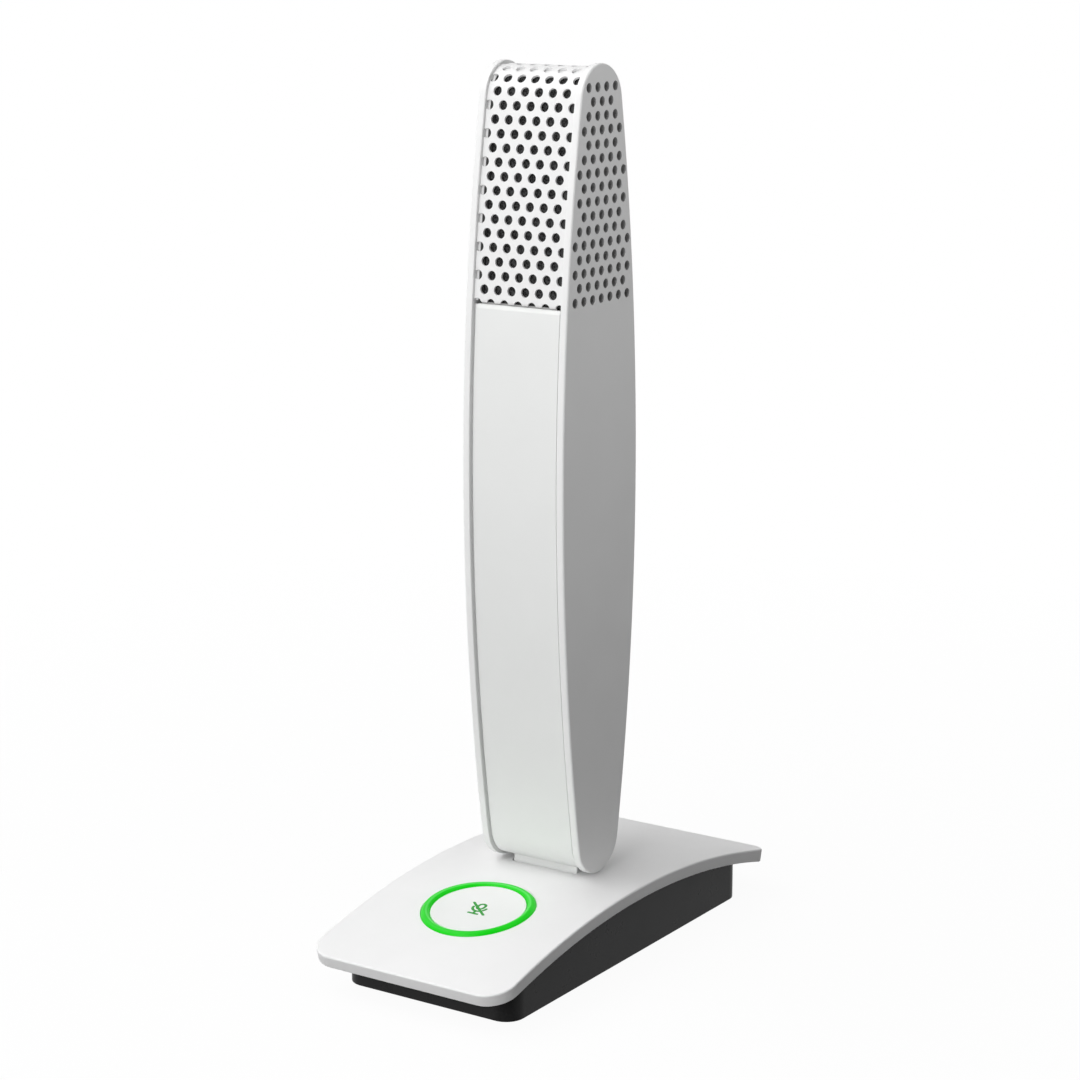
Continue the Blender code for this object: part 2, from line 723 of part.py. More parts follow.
def frame_outline():
    """The frame's side plate: it backs the panels below and the grille above."""
    lower = face_lens.inset(PANEL_THICKNESS + SEAT_GAP)
    upper = face_lens.inset(GRILLE_THICKNESS + SEAT_GAP)
    step = panel_top + SEAT_GAP
    low_turns = spread(-lower.bottom_turn(), lower.turn_at(step), HIDDEN_SEGMENTS)
    front = [lower.front_arc(angle) for angle in low_turns]
    low_turn = upper.turn_at(step + SEAT_GAP)
    high = [upper.front_arc(angle) for angle in spread(low_turn, upper.top_turn(), HIDDEN_SEGMENTS)]
    high += [upper.top_cap(angle) for angle in spread(upper.top_turn(), math.pi / 2, HIDDEN_SEGMENTS)][1:]
    half = front + high
    rear = [(-y, z) for y, z in reversed(half[:-1])]
    turn = lower.bottom_turn()
    bottom = [lower.bottom_cap(angle) for angle in spread(math.pi - turn, turn, 2 * HIDDEN_SEGMENTS)]
    return half + rear + bottom[1:-1]


def hoop_window():
    """The opening inside the frame's hoop, behind the side cover's holes."""
    inner = face_lens.inset(GRILLE_THICKNESS + SEAT_GAP + FRAME_HOOP_WIDTH)
    low = inner.turn_at(panel_top + 2 * FRAME_HOOP_WIDTH)
    front = [inner.front_arc(angle) for angle in spread(low, inner.top_turn(), HIDDEN_SEGMENTS)]
    front += [inner.top_cap(angle) for angle in spread(inner.top_turn(), math.pi / 2, HIDDEN_SEGMENTS)][1:]
    return front + [(-y, z) for y, z in reversed(front[:-1])]


def make_inner_frame():
    """The column's skeleton: two side plates, a web between them and a post for the capsule."""
    inner, outer = frame_inner, frame_outer
    frame = upright_slab("inner_frame", frame_outline(), inner, outer)
    other = upright_slab("add_frame_plate", frame_outline(), -outer, -inner)
    web_low = tilt_height + FRAME_WEB_START
    web_front, web_rear = FRAME_WEB_SETBACK, FRAME_WEB_SETBACK + FRAME_WEB_THICKNESS
    reach = inner + JOIN_SINK
    post_top = column_top - CAPSULE_BELOW_TOP + CAPSULE_RADIUS
    half_post = CAPSULE_POST_WIDTH / 2
    half = [(reach, web_low), (reach, panel_top), (half_post, panel_top), (half_post, post_top)]
    web = facing_slab("add_frame_web", half + [(-x, z) for x, z in reversed(half)], web_front, web_rear)
    root = web_front + JOIN_SINK
    standoffs = rods("add_board_standoffs", [((x, root, z), (x, web_front - PREAMP_STANDOFF, z))
                                             for x, z in preamp_screws()], BOARD_POST_RADIUS, 8)
    fuse(frame, other, web, standoffs)
    window = upright_slab("cut_frame_windows", hoop_window(), -outer - OVERRUN, outer + OVERRUN)
    holes = rods("cut_frame_peg_holes", [((-outer - OVERRUN, 0, z), (outer + OVERRUN, 0, z))
                                         for z in peg_heights()], PEG_RADIUS + SEAT_GAP, 8)
    bore = rod("cut_frame_pin_bore", (-outer - OVERRUN, 0, tilt_height), (outer + OVERRUN, 0, tilt_height),
               PIN_RADIUS + SEAT_GAP, 12)
    taps = rods("cut_frame_taps", [((x, web_rear + OVERRUN, z), (x, web_front - PREAMP_STANDOFF - OVERRUN, z))
                                   for x, z in preamp_screws()], SCREW_RADIUS + SEAT_GAP, 6)
    cut(frame, keep_post_clear(window), holes, bore, taps)
    return finish(weld(frame), black_plastic)


def keep_post_clear(window):
    """Limits the hoop's window to the side plates, so that it leaves the capsule's post whole."""
    gap = box("cut_window_middle", (-frame_inner, -COLUMN_HALF_DEPTH, panel_top - OVERRUN),
              (frame_inner, COLUMN_HALF_DEPTH, column_top))
    return cut(window, gap)


def preamp_low():
    return tilt_height + FRAME_WEB_START + PREAMP_ABOVE_WEB


def preamp_screws():
    """The (x, z) places of the preamp board's screws."""
    low = preamp_low() + BOARD_POST_INSET
    high = preamp_low() + PREAMP_LENGTH - BOARD_POST_INSET
    return [(0, low), (0, high)]


def preamp_faces():
    """The board's front and rear faces along Y."""
    rear = FRAME_WEB_SETBACK - PREAMP_STANDOFF - SEAT_GAP
    return rear - BOARD_THICKNESS, rear


def make_preamp_board():
    """The circuit board in the column, with its chips and capacitors on the front."""
    front, rear = preamp_faces()
    low, high = preamp_low(), preamp_low() + PREAMP_LENGTH
    half = frame_inner - PREAMP_SIDE_GAP
    board = box("preamp_board", (-half, front, low), (half, rear, high))
    for index, (share_x, share_z, share_width, share_length) in enumerate(PREAMP_PART_SHARES):
        centre_x, centre_z = share_x * half, low + share_z * PREAMP_LENGTH
        wide, tall = share_width * half, share_length * PREAMP_LENGTH / 2
        near = (centre_x - wide, front - CHIP_HEIGHT, centre_z - tall)
        far = (centre_x + wide, front + JOIN_SINK, centre_z + tall)
        fuse(board, box(f"add_preamp_chip_{index}", near, far))
    holes = rods("cut_preamp_holes", [((x, front - OVERRUN, z), (x, rear + OVERRUN, z))
                                      for x, z in preamp_screws()], SCREW_RADIUS + SEAT_GAP, 6)
    cut(board, holes)
    return finish(board, green_board)


PREAMP_PART_SHARES = ((0.0, 0.60, 0.50, 0.11), (-0.3, 0.36, 0.30, 0.07),
                      (0.4, 0.22, 0.26, 0.06), (0.0, 0.80, 0.36, 0.05))


def make_screws(name, places):
    """Equal screws that share one mesh, at (head, tip) places."""
    head, tip = (Vector(end) for end in places[0])
    length = (tip - head).length
    profile = [(0, 0), (SCREW_HEAD_RADIUS, 0), (SCREW_HEAD_RADIUS, -SCREW_HEAD_HEIGHT),
               (SCREW_RADIUS, -SCREW_HEAD_HEIGHT), (SCREW_RADIUS, -length), (0, -length)]
    first = finish(settled(turned(name + "_1", profile, SCREW_SIDES)), steel)
    screws = [first] + copies_of(first, [f"{name}_{number}" for number in range(2, len(places) + 1)])
    for piece, (head, tip) in zip(screws, places):
        turn = (Vector(head) - Vector(tip)).to_track_quat("Z", "Y")
        piece.matrix_world = Matrix.Translation(head) @ turn.to_matrix().to_4x4()
    return screws


def copies_of(first, names):
    """More objects with the same mesh."""
    copies = []
    for name in names:
        copy = bpy.data.objects.new(name, first.data)
        parts.objects.link(copy)
        copies.append(copy)
    return copies


def make_preamp_screws():
    front, rear = preamp_faces()
    head = front - SEAT_GAP - SCREW_HEAD_HEIGHT
    tip = FRAME_WEB_SETBACK + FRAME_WEB_THICKNESS / 2
    return make_screws("preamp_screw", [((x, head, z), (x, tip, z)) for x, z in preamp_screws()])


def capsule_height():
    return column_top - CAPSULE_BELOW_TOP


def capsule_rear():
    """The capsule's rear face along Y, ahead of its post and the mount's back."""
    return FRAME_WEB_SETBACK - SEAT_GAP - MOUNT_WALL - SEAT_GAP


def face_forward(made, y):
    """Turns a piece made about Z so that its top faces the front, with its base at this place along Y."""
    place = Matrix.Translation((0, y, capsule_height()))
    made.data.transform(place @ Matrix.Rotation(math.radians(90), 4, "X"))
    return made


def make_capsule():
    """The microphone capsule: a short can with a recessed front."""
    rim = CAPSULE_RADIUS - CAPSULE_RIM
    recess = CAPSULE_DEPTH - CAPSULE_RIM / 2
    profile = [(0, recess), (rim, recess), (rim, CAPSULE_DEPTH), (CAPSULE_RADIUS, CAPSULE_DEPTH),
               (CAPSULE_RADIUS, 0), (0, 0)]
    capsule = settled(turned("capsule", profile, 16))
    return finish(face_forward(capsule, capsule_rear()), brass)


def make_capsule_mount():
    """The rubber cup that holds the capsule on its post."""
    inner = CAPSULE_RADIUS + SEAT_GAP
    outer = inner + MOUNT_WALL
    back = -SEAT_GAP - MOUNT_WALL
    front = MOUNT_DEPTH
    profile = [(0, -SEAT_GAP), (inner, -SEAT_GAP), (inner, front), (outer, front), (outer, back), (0, back)]
    mount = settled(turned("capsule_mount", profile, 16))
    return finish(face_forward(mount, capsule_rear()), rubber)


def make_foam():
    """The foam windscreen that fills the head behind the grille, with a space for the capsule."""
    outer = face_lens.inset(GRILLE_THICKNESS + SEAT_GAP)
    bottom = panel_top + PANEL_TOP_GAP
    low = outer.turn_at(bottom)
    front = [outer.front_arc(angle) for angle in spread(low, outer.top_turn(), ARC_SEGMENTS // 2)]
    front += [outer.top_cap(angle) for angle in spread(outer.top_turn(), math.pi / 2, CAP_SEGMENTS // 2)][1:]
    points = front + [(-y, z) for y, z in reversed(front[:-1])]
    half = frame_inner - SEAT_GAP
    foam = upright_slab("foam_windscreen", points, -half, half)
    roof = capsule_height() + capsule_room + FOAM_CAVITY_ROOM
    half_cavity = outer.half_depth(roof) - FOAM_WALL
    side = max(capsule_room, CAPSULE_POST_WIDTH / 2 + SEAT_GAP)
    front_wall = min(-half_cavity, capsule_rear() - CAPSULE_DEPTH - SEAT_GAP)
    cavity = box("cut_foam_cavity", (-side, front_wall, bottom - OVERRUN), (side, half_cavity, roof))
    cut(foam, cavity)
    return finish(foam, foam_black)


def make_capsule_lead():
    """The thin lead from the capsule's lower side down to the preamp board."""
    front, rear = preamp_faces()
    y = (front + rear) / 2
    top = capsule_height() - capsule_room
    bottom = preamp_low() + PREAMP_LENGTH + SEAT_GAP
    curve = bpy.data.curves.new("capsule_lead_path", "CURVE")
    curve.dimensions = "3D"
    curve.bevel_depth = LEAD_RADIUS
    curve.bevel_resolution = 1
    curve.use_fill_caps = True
    spline = curve.splines.new("POLY")
    heights = spread(top, bottom, 6)
    spline.points.add(len(heights) - 1)
    for index, (point, z) in enumerate(zip(spline.points, heights)):
        sway = LEAD_RADIUS * 2 * math.sin(math.pi * index / 3)
        point.co = (sway, y, z, 1)
    guide = bpy.data.objects.new("capsule_lead_path", curve)
    parts.objects.link(guide)
    graph = bpy.context.evaluated_depsgraph_get()
    mesh = bpy.data.meshes.new_from_object(guide.evaluated_get(graph))
    bpy.data.objects.remove(guide, do_unlink=True)
    bm = bmesh.new()
    bm.from_mesh(mesh)
    bmesh.ops.remove_doubles(bm, verts=bm.verts, dist=MERGE_DISTANCE)
    return finish(mesh_object("capsule_lead", bm, parts), rubber)


# Hinge

def make_hinge_pin():
    pin = rod("hinge_pin", (-frame_outer, 0, tilt_height), (frame_outer, 0, tilt_height), PIN_RADIUS, 12)
    return finish(pin, steel)


def make_friction_washer(name, side):
    """A washer that is pinched between the neck's knuckle and one of the frame's side plates."""
    near = neck_half_width + SEAT_GAP
    far = near + WASHER_THICKNESS
    washer = rod(name, (side * near, 0, tilt_height), (side * far, 0, tilt_height), WASHER_RADIUS, 12)
    cut(washer, rod("cut_" + name + "_bore", (-COLUMN_WIDTH, 0, tilt_height), (COLUMN_WIDTH, 0, tilt_height),
                    PIN_RADIUS + SEAT_GAP, 8))
    return finish(washer, black_plastic)


def neck_flange_top():
    return arch_height(NECK_FLANGE_DEPTH / 2, -PLATE_THICKNESS) - SEAT_GAP


def make_neck():
    """The neck: a flange under the plate, a stem through it and the knuckle of the tilt hinge."""
    half_width, half_depth = neck_half_width, NECK_DEPTH / 2
    foot = half_depth + NECK_FLARE
    top = neck_flange_top()
    flare_top = plate_height + NECK_FLARE_HEIGHT
    rear = [(foot, top - JOIN_SINK), (foot, plate_height), (half_depth, flare_top), (half_depth, tilt_height)]
    points = rear + [(-y, z) for y, z in reversed(rear)]
    neck = upright_slab("neck", points, -half_width, half_width)
    ends = ((-half_width, 0, tilt_height), (half_width, 0, tilt_height))
    knuckle = rod("add_knuckle", *ends, knuckle_radius, 24)
    under = top - NECK_FLANGE_THICKNESS
    flange_half = (half_width + 2 * NECK_SCREW_INSET, NECK_FLANGE_DEPTH / 2)
    flange = box("add_neck_flange", (-flange_half[0], -flange_half[1], under), (*flange_half, top))
    fuse(neck, knuckle, flange)
    bore = rod("cut_knuckle_bore", (-COLUMN_WIDTH, 0, tilt_height), (COLUMN_WIDTH, 0, tilt_height),
               PIN_RADIUS + SEAT_GAP, 12)
    cable = rod("cut_neck_cable_bore", (0, 0, under - OVERRUN), (0, 0, tilt_height - PIN_RADIUS - SEAT_GAP),
                NECK_CABLE_BORE, 10)
    holes = rods("cut_neck_screw_holes", [((x, y, under - OVERRUN), (x, y, top + OVERRUN))
                                          for x, y in neck_screws()], SCREW_RADIUS + SEAT_GAP, 6)
    cut(neck, bore, cable, holes)
    return finish(weld(neck), white_plastic)


def neck_screws():
    side = neck_half_width + NECK_SCREW_INSET
    return [(-side, 0), (side, 0)]


def make_neck_screws():
    top = neck_flange_top()
    head = top - NECK_FLANGE_THICKNESS - SEAT_GAP - SCREW_HEAD_HEIGHT
    tip = top + SEAT_GAP + SCREW_GRIP
    return make_screws("neck_screw", [((x, y, head), (x, y, tip)) for x, y in neck_screws()])


# Base pieces

def tray_posts():
    return [(x, y) for x in (-post_side, post_side) for y in (-post_along, post_along)]


def boss_meet_height():
    """Where the plate's bosses meet the tray's posts."""
    return arch_height(post_along + TRAY_POST_RADIUS, -PLATE_THICKNESS) - PLATE_BOSS_LENGTH


def make_base_plate():
    """The arched top of the base, with the button's stepped hole, the neck's slot and bosses for screws."""
    half_along = PLATE_ARCH_RADIUS * math.asin(PLATE_LENGTH / 2 / PLATE_ARCH_RADIUS)
    points = rounded_rectangle(PLATE_WIDTH / 2, half_along, PLATE_FRONT_CORNER, PLATE_REAR_CORNER, 6)
    plate = bent_slab("base_plate", points, -PLATE_THICKNESS, 0, PLATE_EDGE_FILLET)
    meet = boss_meet_height()
    roof = arch_height(post_along, -PLATE_THICKNESS) + JOIN_SINK
    bosses = upright_rods("add_plate_bosses", tray_posts(), meet, roof, TRAY_POST_RADIUS, 8)
    end = button_post_end()
    posts = upright_rods("add_button_posts", button_screws(), end, JOIN_SINK - PLATE_THICKNESS,
                         BUTTON_POST_RADIUS, 8)
    fuse(plate, bosses, to_button(posts))
    cut_button_seat(plate)
    foot = NECK_DEPTH / 2 + NECK_FLARE + SEAT_GAP
    half_width = neck_half_width + SEAT_GAP
    under = neck_flange_top()
    slot = box("cut_neck_slot", (-half_width, -foot, under), (half_width, foot, plate_height + OVERRUN))
    neck_taps = screw_taps("cut_plate_neck_taps", neck_screws(), under, under + SEAT_GAP)
    boss_taps = screw_taps("cut_plate_boss_taps", tray_posts(), meet, meet)
    post_taps = screw_taps("cut_button_post_taps", button_screws(), end, end)
    cut(plate, slot, neck_taps, boss_taps, to_button(post_taps))
    return finish(plate, white_gloss)


def cut_button_seat(plate):
    """Cuts the ring's pocket, the button's well below it and the windows for the lamps' light."""
    shelf = ring_shelf()
    ring_room = RING_RADIUS + RING_TUBE_RADIUS + SEAT_GAP
    below = -2 * PLATE_THICKNESS
    pocket = rod("cut_ring_pocket", (0, 0, shelf), (0, 0, PLATE_THICKNESS), ring_room, RING_SEGMENTS)
    well = rod("cut_button_well", (0, 0, below), (0, 0, PLATE_THICKNESS), well_radius(), RING_SEGMENTS)
    windows = upright_rods("cut_light_windows", led_places(), below, shelf + OVERRUN, LED_SIDE / 2, 6)
    cut(plate, to_button(pocket), to_button(well), to_button(windows))


def ring_shelf():
    """The level of the shelf under the ring, below the ring's lowest points on the curved plate."""
    fall = (RING_RADIUS ** 2) / (2 * PLATE_ARCH_RADIUS)
    return -(RING_SINK + fall + RING_TUBE_RADIUS + SEAT_GAP)


def well_radius():
    return button_radius + SEAT_GAP


def make_light_ring():
    """The lit ring round the button: a tube that follows the plate's curved surface."""
    curve = bpy.data.curves.new("light_ring_path", "CURVE")
    curve.dimensions = "3D"
    curve.bevel_depth = RING_TUBE_RADIUS
    curve.bevel_resolution = 2
    spline = curve.splines.new("POLY")
    turns = spread(0, 2 * math.pi, RING_SEGMENTS)[:-1]
    spline.points.add(len(turns) - 1)
    for point, angle in zip(spline.points, turns):
        x, y = RING_RADIUS * math.cos(angle), RING_RADIUS * math.sin(angle)
        point.co = (x, y, -RING_SINK - y ** 2 / (2 * PLATE_ARCH_RADIUS), 1)
    spline.use_cyclic_u = True
    guide = bpy.data.objects.new("light_ring_path", curve)
    parts.objects.link(guide)
    graph = bpy.context.evaluated_depsgraph_get()
    mesh = bpy.data.meshes.new_from_object(guide.evaluated_get(graph))
    bpy.data.objects.remove(guide, do_unlink=True)
    bm = bmesh.new()
    bm.from_mesh(mesh)
    bmesh.ops.remove_doubles(bm, verts=bm.verts, dist=MERGE_DISTANCE)
    return finish(to_button(mesh_object("light_ring", bm, parts)), green_light)


def flange_level():
    """The top of the button's flange, under the plate with room for the plate's curve."""
    reach = button_radius + BUTTON_FLANGE
    return -PLATE_THICKNESS - reach ** 2 / (2 * PLATE_ARCH_RADIUS) - RUN_GAP


def make_mute_button():
    """The button: a dished disc with a skirt, a flange that holds it under the plate, and a stem."""
    radius = button_radius
    inner = radius - BUTTON_SKIRT_WALL
    flange = radius + BUTTON_FLANGE
    top_of_flange = flange_level()
    bottom = top_of_flange - BUTTON_FLANGE_HEIGHT
    roof = -BUTTON_TOP_WALL - BUTTON_DISH
    stem_end = plunger_top() + SEAT_GAP
    dish = [(radius * share, -BUTTON_DISH * (1 - share ** 2)) for share in (0, 0.5, 0.85)]
    rim = [(radius - BUTTON_EDGE_FILLET, 0), (radius, -BUTTON_EDGE_FILLET), (radius, top_of_flange)]
    skirt = [(flange, top_of_flange), (flange, bottom), (inner, bottom), (inner, roof)]
    stem = [(BUTTON_STEM_RADIUS, roof), (BUTTON_STEM_RADIUS, stem_end), (0, stem_end)]
    profile = dish + rim + skirt + stem
    button = to_button(settled(turned("mute_button", profile, RING_SEGMENTS)))
    return finish(button, white_gloss)


def button_board_top():
    """The level of the board under the button, with its lamps clear of the pressed button's flange."""
    pressed = flange_level() - BUTTON_FLANGE_HEIGHT - BUTTON_TRAVEL
    return pressed - BUTTON_BOARD_ROOM - LED_HEIGHT - SEAT_GAP


def plunger_top():
    """The plunger's top at rest, above the switch by the button's travel and a gap."""
    return switch_top() + BUTTON_TRAVEL + SEAT_GAP


def switch_top():
    return button_board_top() + SEAT_GAP + SWITCH_HEIGHT


def make_switch_plunger():
    """The switch's plunger, which rides in the switch under the button's stem."""
    top = plunger_top()
    plunger = to_button(rod("switch_plunger", (0, 0, top - PLUNGER_LENGTH), (0, 0, top), PLUNGER_RADIUS, 8))
    return finish(plunger, black_plastic)


def make_mute_switch():
    """The switch body on its board, with the well for the plunger."""
    half = SWITCH_SIDE / 2
    low = button_board_top() + SEAT_GAP
    switch = to_button(box("mute_switch", (-half, -half, low), (half, half, switch_top())))
    floor = plunger_top() - PLUNGER_LENGTH - BUTTON_TRAVEL - SEAT_GAP
    well = to_button(rod("cut_switch_well", (0, 0, floor), (0, 0, switch_top() + OVERRUN),
                         PLUNGER_RADIUS + SEAT_GAP, 8))
    cut(switch, well)
    return finish(switch, black_plastic)


def button_screws():
    """The places of the button board's screws, outside the ring."""
    angles = [math.radians(turn) for turn in BUTTON_POST_ANGLES]
    return [(button_post_reach * math.cos(angle), button_post_reach * math.sin(angle)) for angle in angles]


def button_post_end():
    return button_board_top() + SEAT_GAP


def led_places():
    turns = [(2 * number + 1) * math.pi / LED_COUNT for number in range(LED_COUNT)]
    return [(RING_RADIUS * math.cos(turn), RING_RADIUS * math.sin(turn)) for turn in turns]


def make_button_board():
    """The round board under the button, with a lobe for each screw."""
    high = button_board_top()
    low = high - BUTTON_BOARD_THICKNESS
    board = rod("button_board", (0, 0, low), (0, 0, high), button_board_radius, 20)
    fuse(board, upright_rods("add_board_lobes", button_screws(), low, high, BOARD_LOBE_RADIUS, 8))
    cut(board, upright_rods("cut_board_holes", button_screws(), low - OVERRUN, high + OVERRUN,
                            SCREW_RADIUS + SEAT_GAP, 6))
    return finish(to_button(settled(board)), green_board)


def make_button_board_screws():
    head = button_board_top() - BUTTON_BOARD_THICKNESS - SEAT_GAP - SCREW_HEAD_HEIGHT
    tip = button_post_end() + SCREW_GRIP
    place = button_matrix()
    return make_screws("button_board_screw", [(place @ Vector((x, y, head)), place @ Vector((x, y, tip)))
                                               for x, y in button_screws()])


def make_status_leds():
    """The small lamps that light the ring through the plate's windows."""
    low = button_board_top() + SEAT_GAP
    half = LED_SIDE / 2
    lamps = []
    for number, (x, y) in enumerate(led_places(), 1):
        lamp = box(f"status_led_{number}", (x - half, y - half, low), (x + half, y + half, low + LED_HEIGHT))
        lamps.append(finish(to_button(lamp), white_gloss))
    return lamps


def board_screws():
    side = main_board_side() - BOARD_POST_INSET
    return [(-side, main_board_rear() - BOARD_POST_INSET), (side, main_board_rear() - BOARD_POST_INSET),
            (0, main_board_front() + BOARD_POST_INSET)]


def main_board_side():
    """Half the width of the main board, which lies between the tray's posts."""
    return post_side - TRAY_POST_RADIUS - MAIN_BOARD_SIDE_GAP


def main_board_rear():
    return tray_half_length - TRAY_WALL - MAIN_BOARD_END_GAP


def main_board_front():
    return main_board_rear() - MAIN_BOARD_LENGTH


def socket_height():
    """The height of the socket's middle, level with the middle of its board."""
    return MAIN_BOARD_HEIGHT + BOARD_THICKNESS / 2


def make_base_tray():
    """The open-topped housing: walls up to the plate, a floor, posts for screws and the socket's port."""
    outline = rounded_rectangle(tray_half_width, tray_half_length, TRAY_CORNER, TRAY_CORNER, 5)
    tray = level_slab("base_tray", outline, tray_bottom, plate_height)
    inner = rounded_rectangle(tray_half_width - TRAY_WALL, tray_half_length - TRAY_WALL,
                              TRAY_CORNER - TRAY_WALL, TRAY_CORNER - TRAY_WALL, 4)
    hollow = level_slab("cut_tray_hollow", inner, floor_top, plate_height + OVERRUN)
    reach = rounded_rectangle(PLATE_WIDTH / 2, PLATE_LENGTH / 2, PLATE_REAR_CORNER, PLATE_REAR_CORNER, 1)
    above = bent_slab("cut_tray_under_plate", reach, -PLATE_THICKNESS - SEAT_GAP, plate_height)
    cut(tray, hollow, above)
    post_top = boss_meet_height() - SEAT_GAP
    root = floor_top - JOIN_SINK
    posts = upright_rods("add_tray_posts", tray_posts(), root, post_top, TRAY_POST_RADIUS, 8)
    board_posts = upright_rods("add_board_posts", board_screws(), root, MAIN_BOARD_HEIGHT - SEAT_GAP,
                               BOARD_POST_RADIUS, 8)
    fuse(tray, posts, board_posts)
    below = tray_bottom - OVERRUN
    tap_radius = SCREW_RADIUS + SEAT_GAP
    bores = upright_rods("cut_tray_screw_bores", tray_posts(), below, post_top + OVERRUN, tap_radius, 6)
    sink_top = tray_bottom + SCREW_HEAD_HEIGHT + 2 * SEAT_GAP
    sinks = upright_rods("cut_tray_screw_sinks", tray_posts(), below, sink_top,
                         SCREW_HEAD_RADIUS + SEAT_GAP, 10)
    board_taps = upright_rods("cut_board_post_taps", board_screws(), floor_top, MAIN_BOARD_HEIGHT,
                              tap_radius, 6)
    feet = upright_rods("cut_foot_pockets", foot_places(), below, FOOT_THICKNESS + SEAT_GAP,
                        FOOT_RADIUS + SEAT_GAP, 12)
    port_outline = stadium(SOCKET_WIDTH / 2 + SEAT_GAP, SOCKET_HEIGHT / 2 + SEAT_GAP)
    port = slab("cut_port", port_outline, 2 * (TRAY_WALL + OVERRUN))
    lay_along_y(port, tray_half_length - TRAY_WALL / 2, socket_height())
    cut(tray, bores, sinks, board_taps, feet, port)
    return finish(weld(tray), black_plastic)


def foot_places():
    side, along = tray_half_width - FOOT_SIDE_INSET, tray_half_length - FOOT_END_INSET
    return [(x, y) for x in (-side, side) for y in (-along, along)]


def make_rubber_feet():
    feet = []
    for number, (x, y) in enumerate(foot_places(), 1):
        foot = rod(f"rubber_foot_{number}", (x, y, 0), (x, y, FOOT_THICKNESS), FOOT_RADIUS, 12)
        feet.append(finish(foot, rubber))
    return feet


def make_tray_screws():
    head = tray_bottom + SEAT_GAP
    tip = boss_meet_height() + SCREW_GRIP
    return make_screws("tray_screw", [((x, y, head), (x, y, tip)) for x, y in tray_posts()])


def make_ballast():
    """The weight on the tray's floor, between the board under the button and the main board."""
    half_width = tray_half_width - TRAY_WALL - BALLAST_SIDE_GAP
    front = button_board_radius - button_along + BALLAST_END_GAP
    rear = main_board_front() - BALLAST_END_GAP
    outline = rounded_rectangle(half_width, (rear - front) / 2, BALLAST_CORNER, BALLAST_CORNER, 3)
    low = floor_top + SEAT_GAP
    block = level_slab("ballast_block", outline, low, low + BALLAST_HEIGHT)
    block.data.transform(Matrix.Translation((0, (front + rear) / 2, 0)))
    return finish(block, steel)


def make_main_board():
    """The USB board in the rear of the tray, notched for its socket."""
    front, rear = main_board_front(), main_board_rear()
    half = main_board_side()
    low, high = MAIN_BOARD_HEIGHT, MAIN_BOARD_HEIGHT + BOARD_THICKNESS
    board = box("main_board", (-half, front, low), (half, rear, high))
    for index, (share_x, share_y, share_width, share_length) in enumerate(MAIN_PART_SHARES):
        centre_x, centre_y = share_x * half, front + share_y * MAIN_BOARD_LENGTH
        wide, deep = share_width * half, share_length * MAIN_BOARD_LENGTH / 2
        near = (centre_x - wide, centre_y - deep, high - JOIN_SINK)
        far = (centre_x + wide, centre_y + deep, high + CHIP_HEIGHT)
        fuse(board, box(f"add_main_chip_{index}", near, far))
    notch_front = socket_mouth() - SOCKET_DEPTH - SEAT_GAP
    half_notch = SOCKET_WIDTH / 2 + SEAT_GAP
    notch = box("cut_board_notch", (-half_notch, notch_front, low - OVERRUN),
                (half_notch, rear + OVERRUN, high + OVERRUN))
    holes = upright_rods("cut_main_holes", board_screws(), low - OVERRUN, high + OVERRUN,
                         SCREW_RADIUS + SEAT_GAP, 6)
    cut(board, notch, holes)
    return finish(board, green_board)


MAIN_PART_SHARES = ((0.0, 0.42, 0.30, 0.26), (-0.55, 0.56, 0.16, 0.16), (0.55, 0.52, 0.14, 0.24))


def make_main_board_screws():
    top = MAIN_BOARD_HEIGHT + BOARD_THICKNESS + SEAT_GAP + SCREW_HEAD_HEIGHT
    tip = MAIN_BOARD_HEIGHT - SEAT_GAP - SCREW_GRIP
    return make_screws("main_board_screw", [((x, y, top), (x, y, tip)) for x, y in board_screws()])


def socket_mouth():
    return tray_half_length - SOCKET_INSET


def lay_along_y(made, middle_y, z):
    made.data.transform(Matrix.Translation((0, middle_y, z)) @ Matrix.Rotation(math.radians(90), 4, "X"))
    return made


def make_usb_socket():
    """The socket's metal shell, open to the rear."""
    middle = socket_mouth() - SOCKET_DEPTH / 2
    half_width, half_height = SOCKET_WIDTH / 2, SOCKET_HEIGHT / 2
    shell = slab("usb_socket", stadium(half_width, half_height), SOCKET_DEPTH)
    lay_along_y(shell, middle, socket_height())
    inside = stadium(half_width - SOCKET_WALL, half_height - SOCKET_WALL)
    hollow = slab("cut_socket_hollow", inside, SOCKET_DEPTH)
    lay_along_y(hollow, middle + SOCKET_BACK, socket_height())
    cut(shell, hollow)
    return finish(shell, steel)


def make_usb_tongue():
    """The contact tongue in the middle of the socket."""
    back = socket_mouth() - SOCKET_DEPTH + SOCKET_BACK
    half_width, half_height = TONGUE_WIDTH / 2, TONGUE_THICKNESS / 2
    z = socket_height()
    low = (-half_width, back + SEAT_GAP, z - half_height)
    high = (half_width, socket_mouth() - TONGUE_SETBACK, z + half_height)
    return finish(box("usb_tongue", low, high), black_plastic)


def axis_empty(name, location, rotation=(0, 0, 0)):
    empty = bpy.data.objects.new(name, None)
    parts.objects.link(empty)
    empty.location = location
    empty.rotation_euler = rotation
    empty.empty_display_size = COLUMN_HALF_DEPTH
    return empty


def hang_on(empty, pieces):
    """Parents pieces to the empty on their joint's axis, and leaves them where they are."""
    bpy.context.view_layer.update()
    for piece in pieces:
        piece.parent = empty
        piece.matrix_parent_inverse = empty.matrix_world.inverted()


clear_scene()
parts = new_collection("desktop_usb_microphone")
cutters = new_collection("cutters")

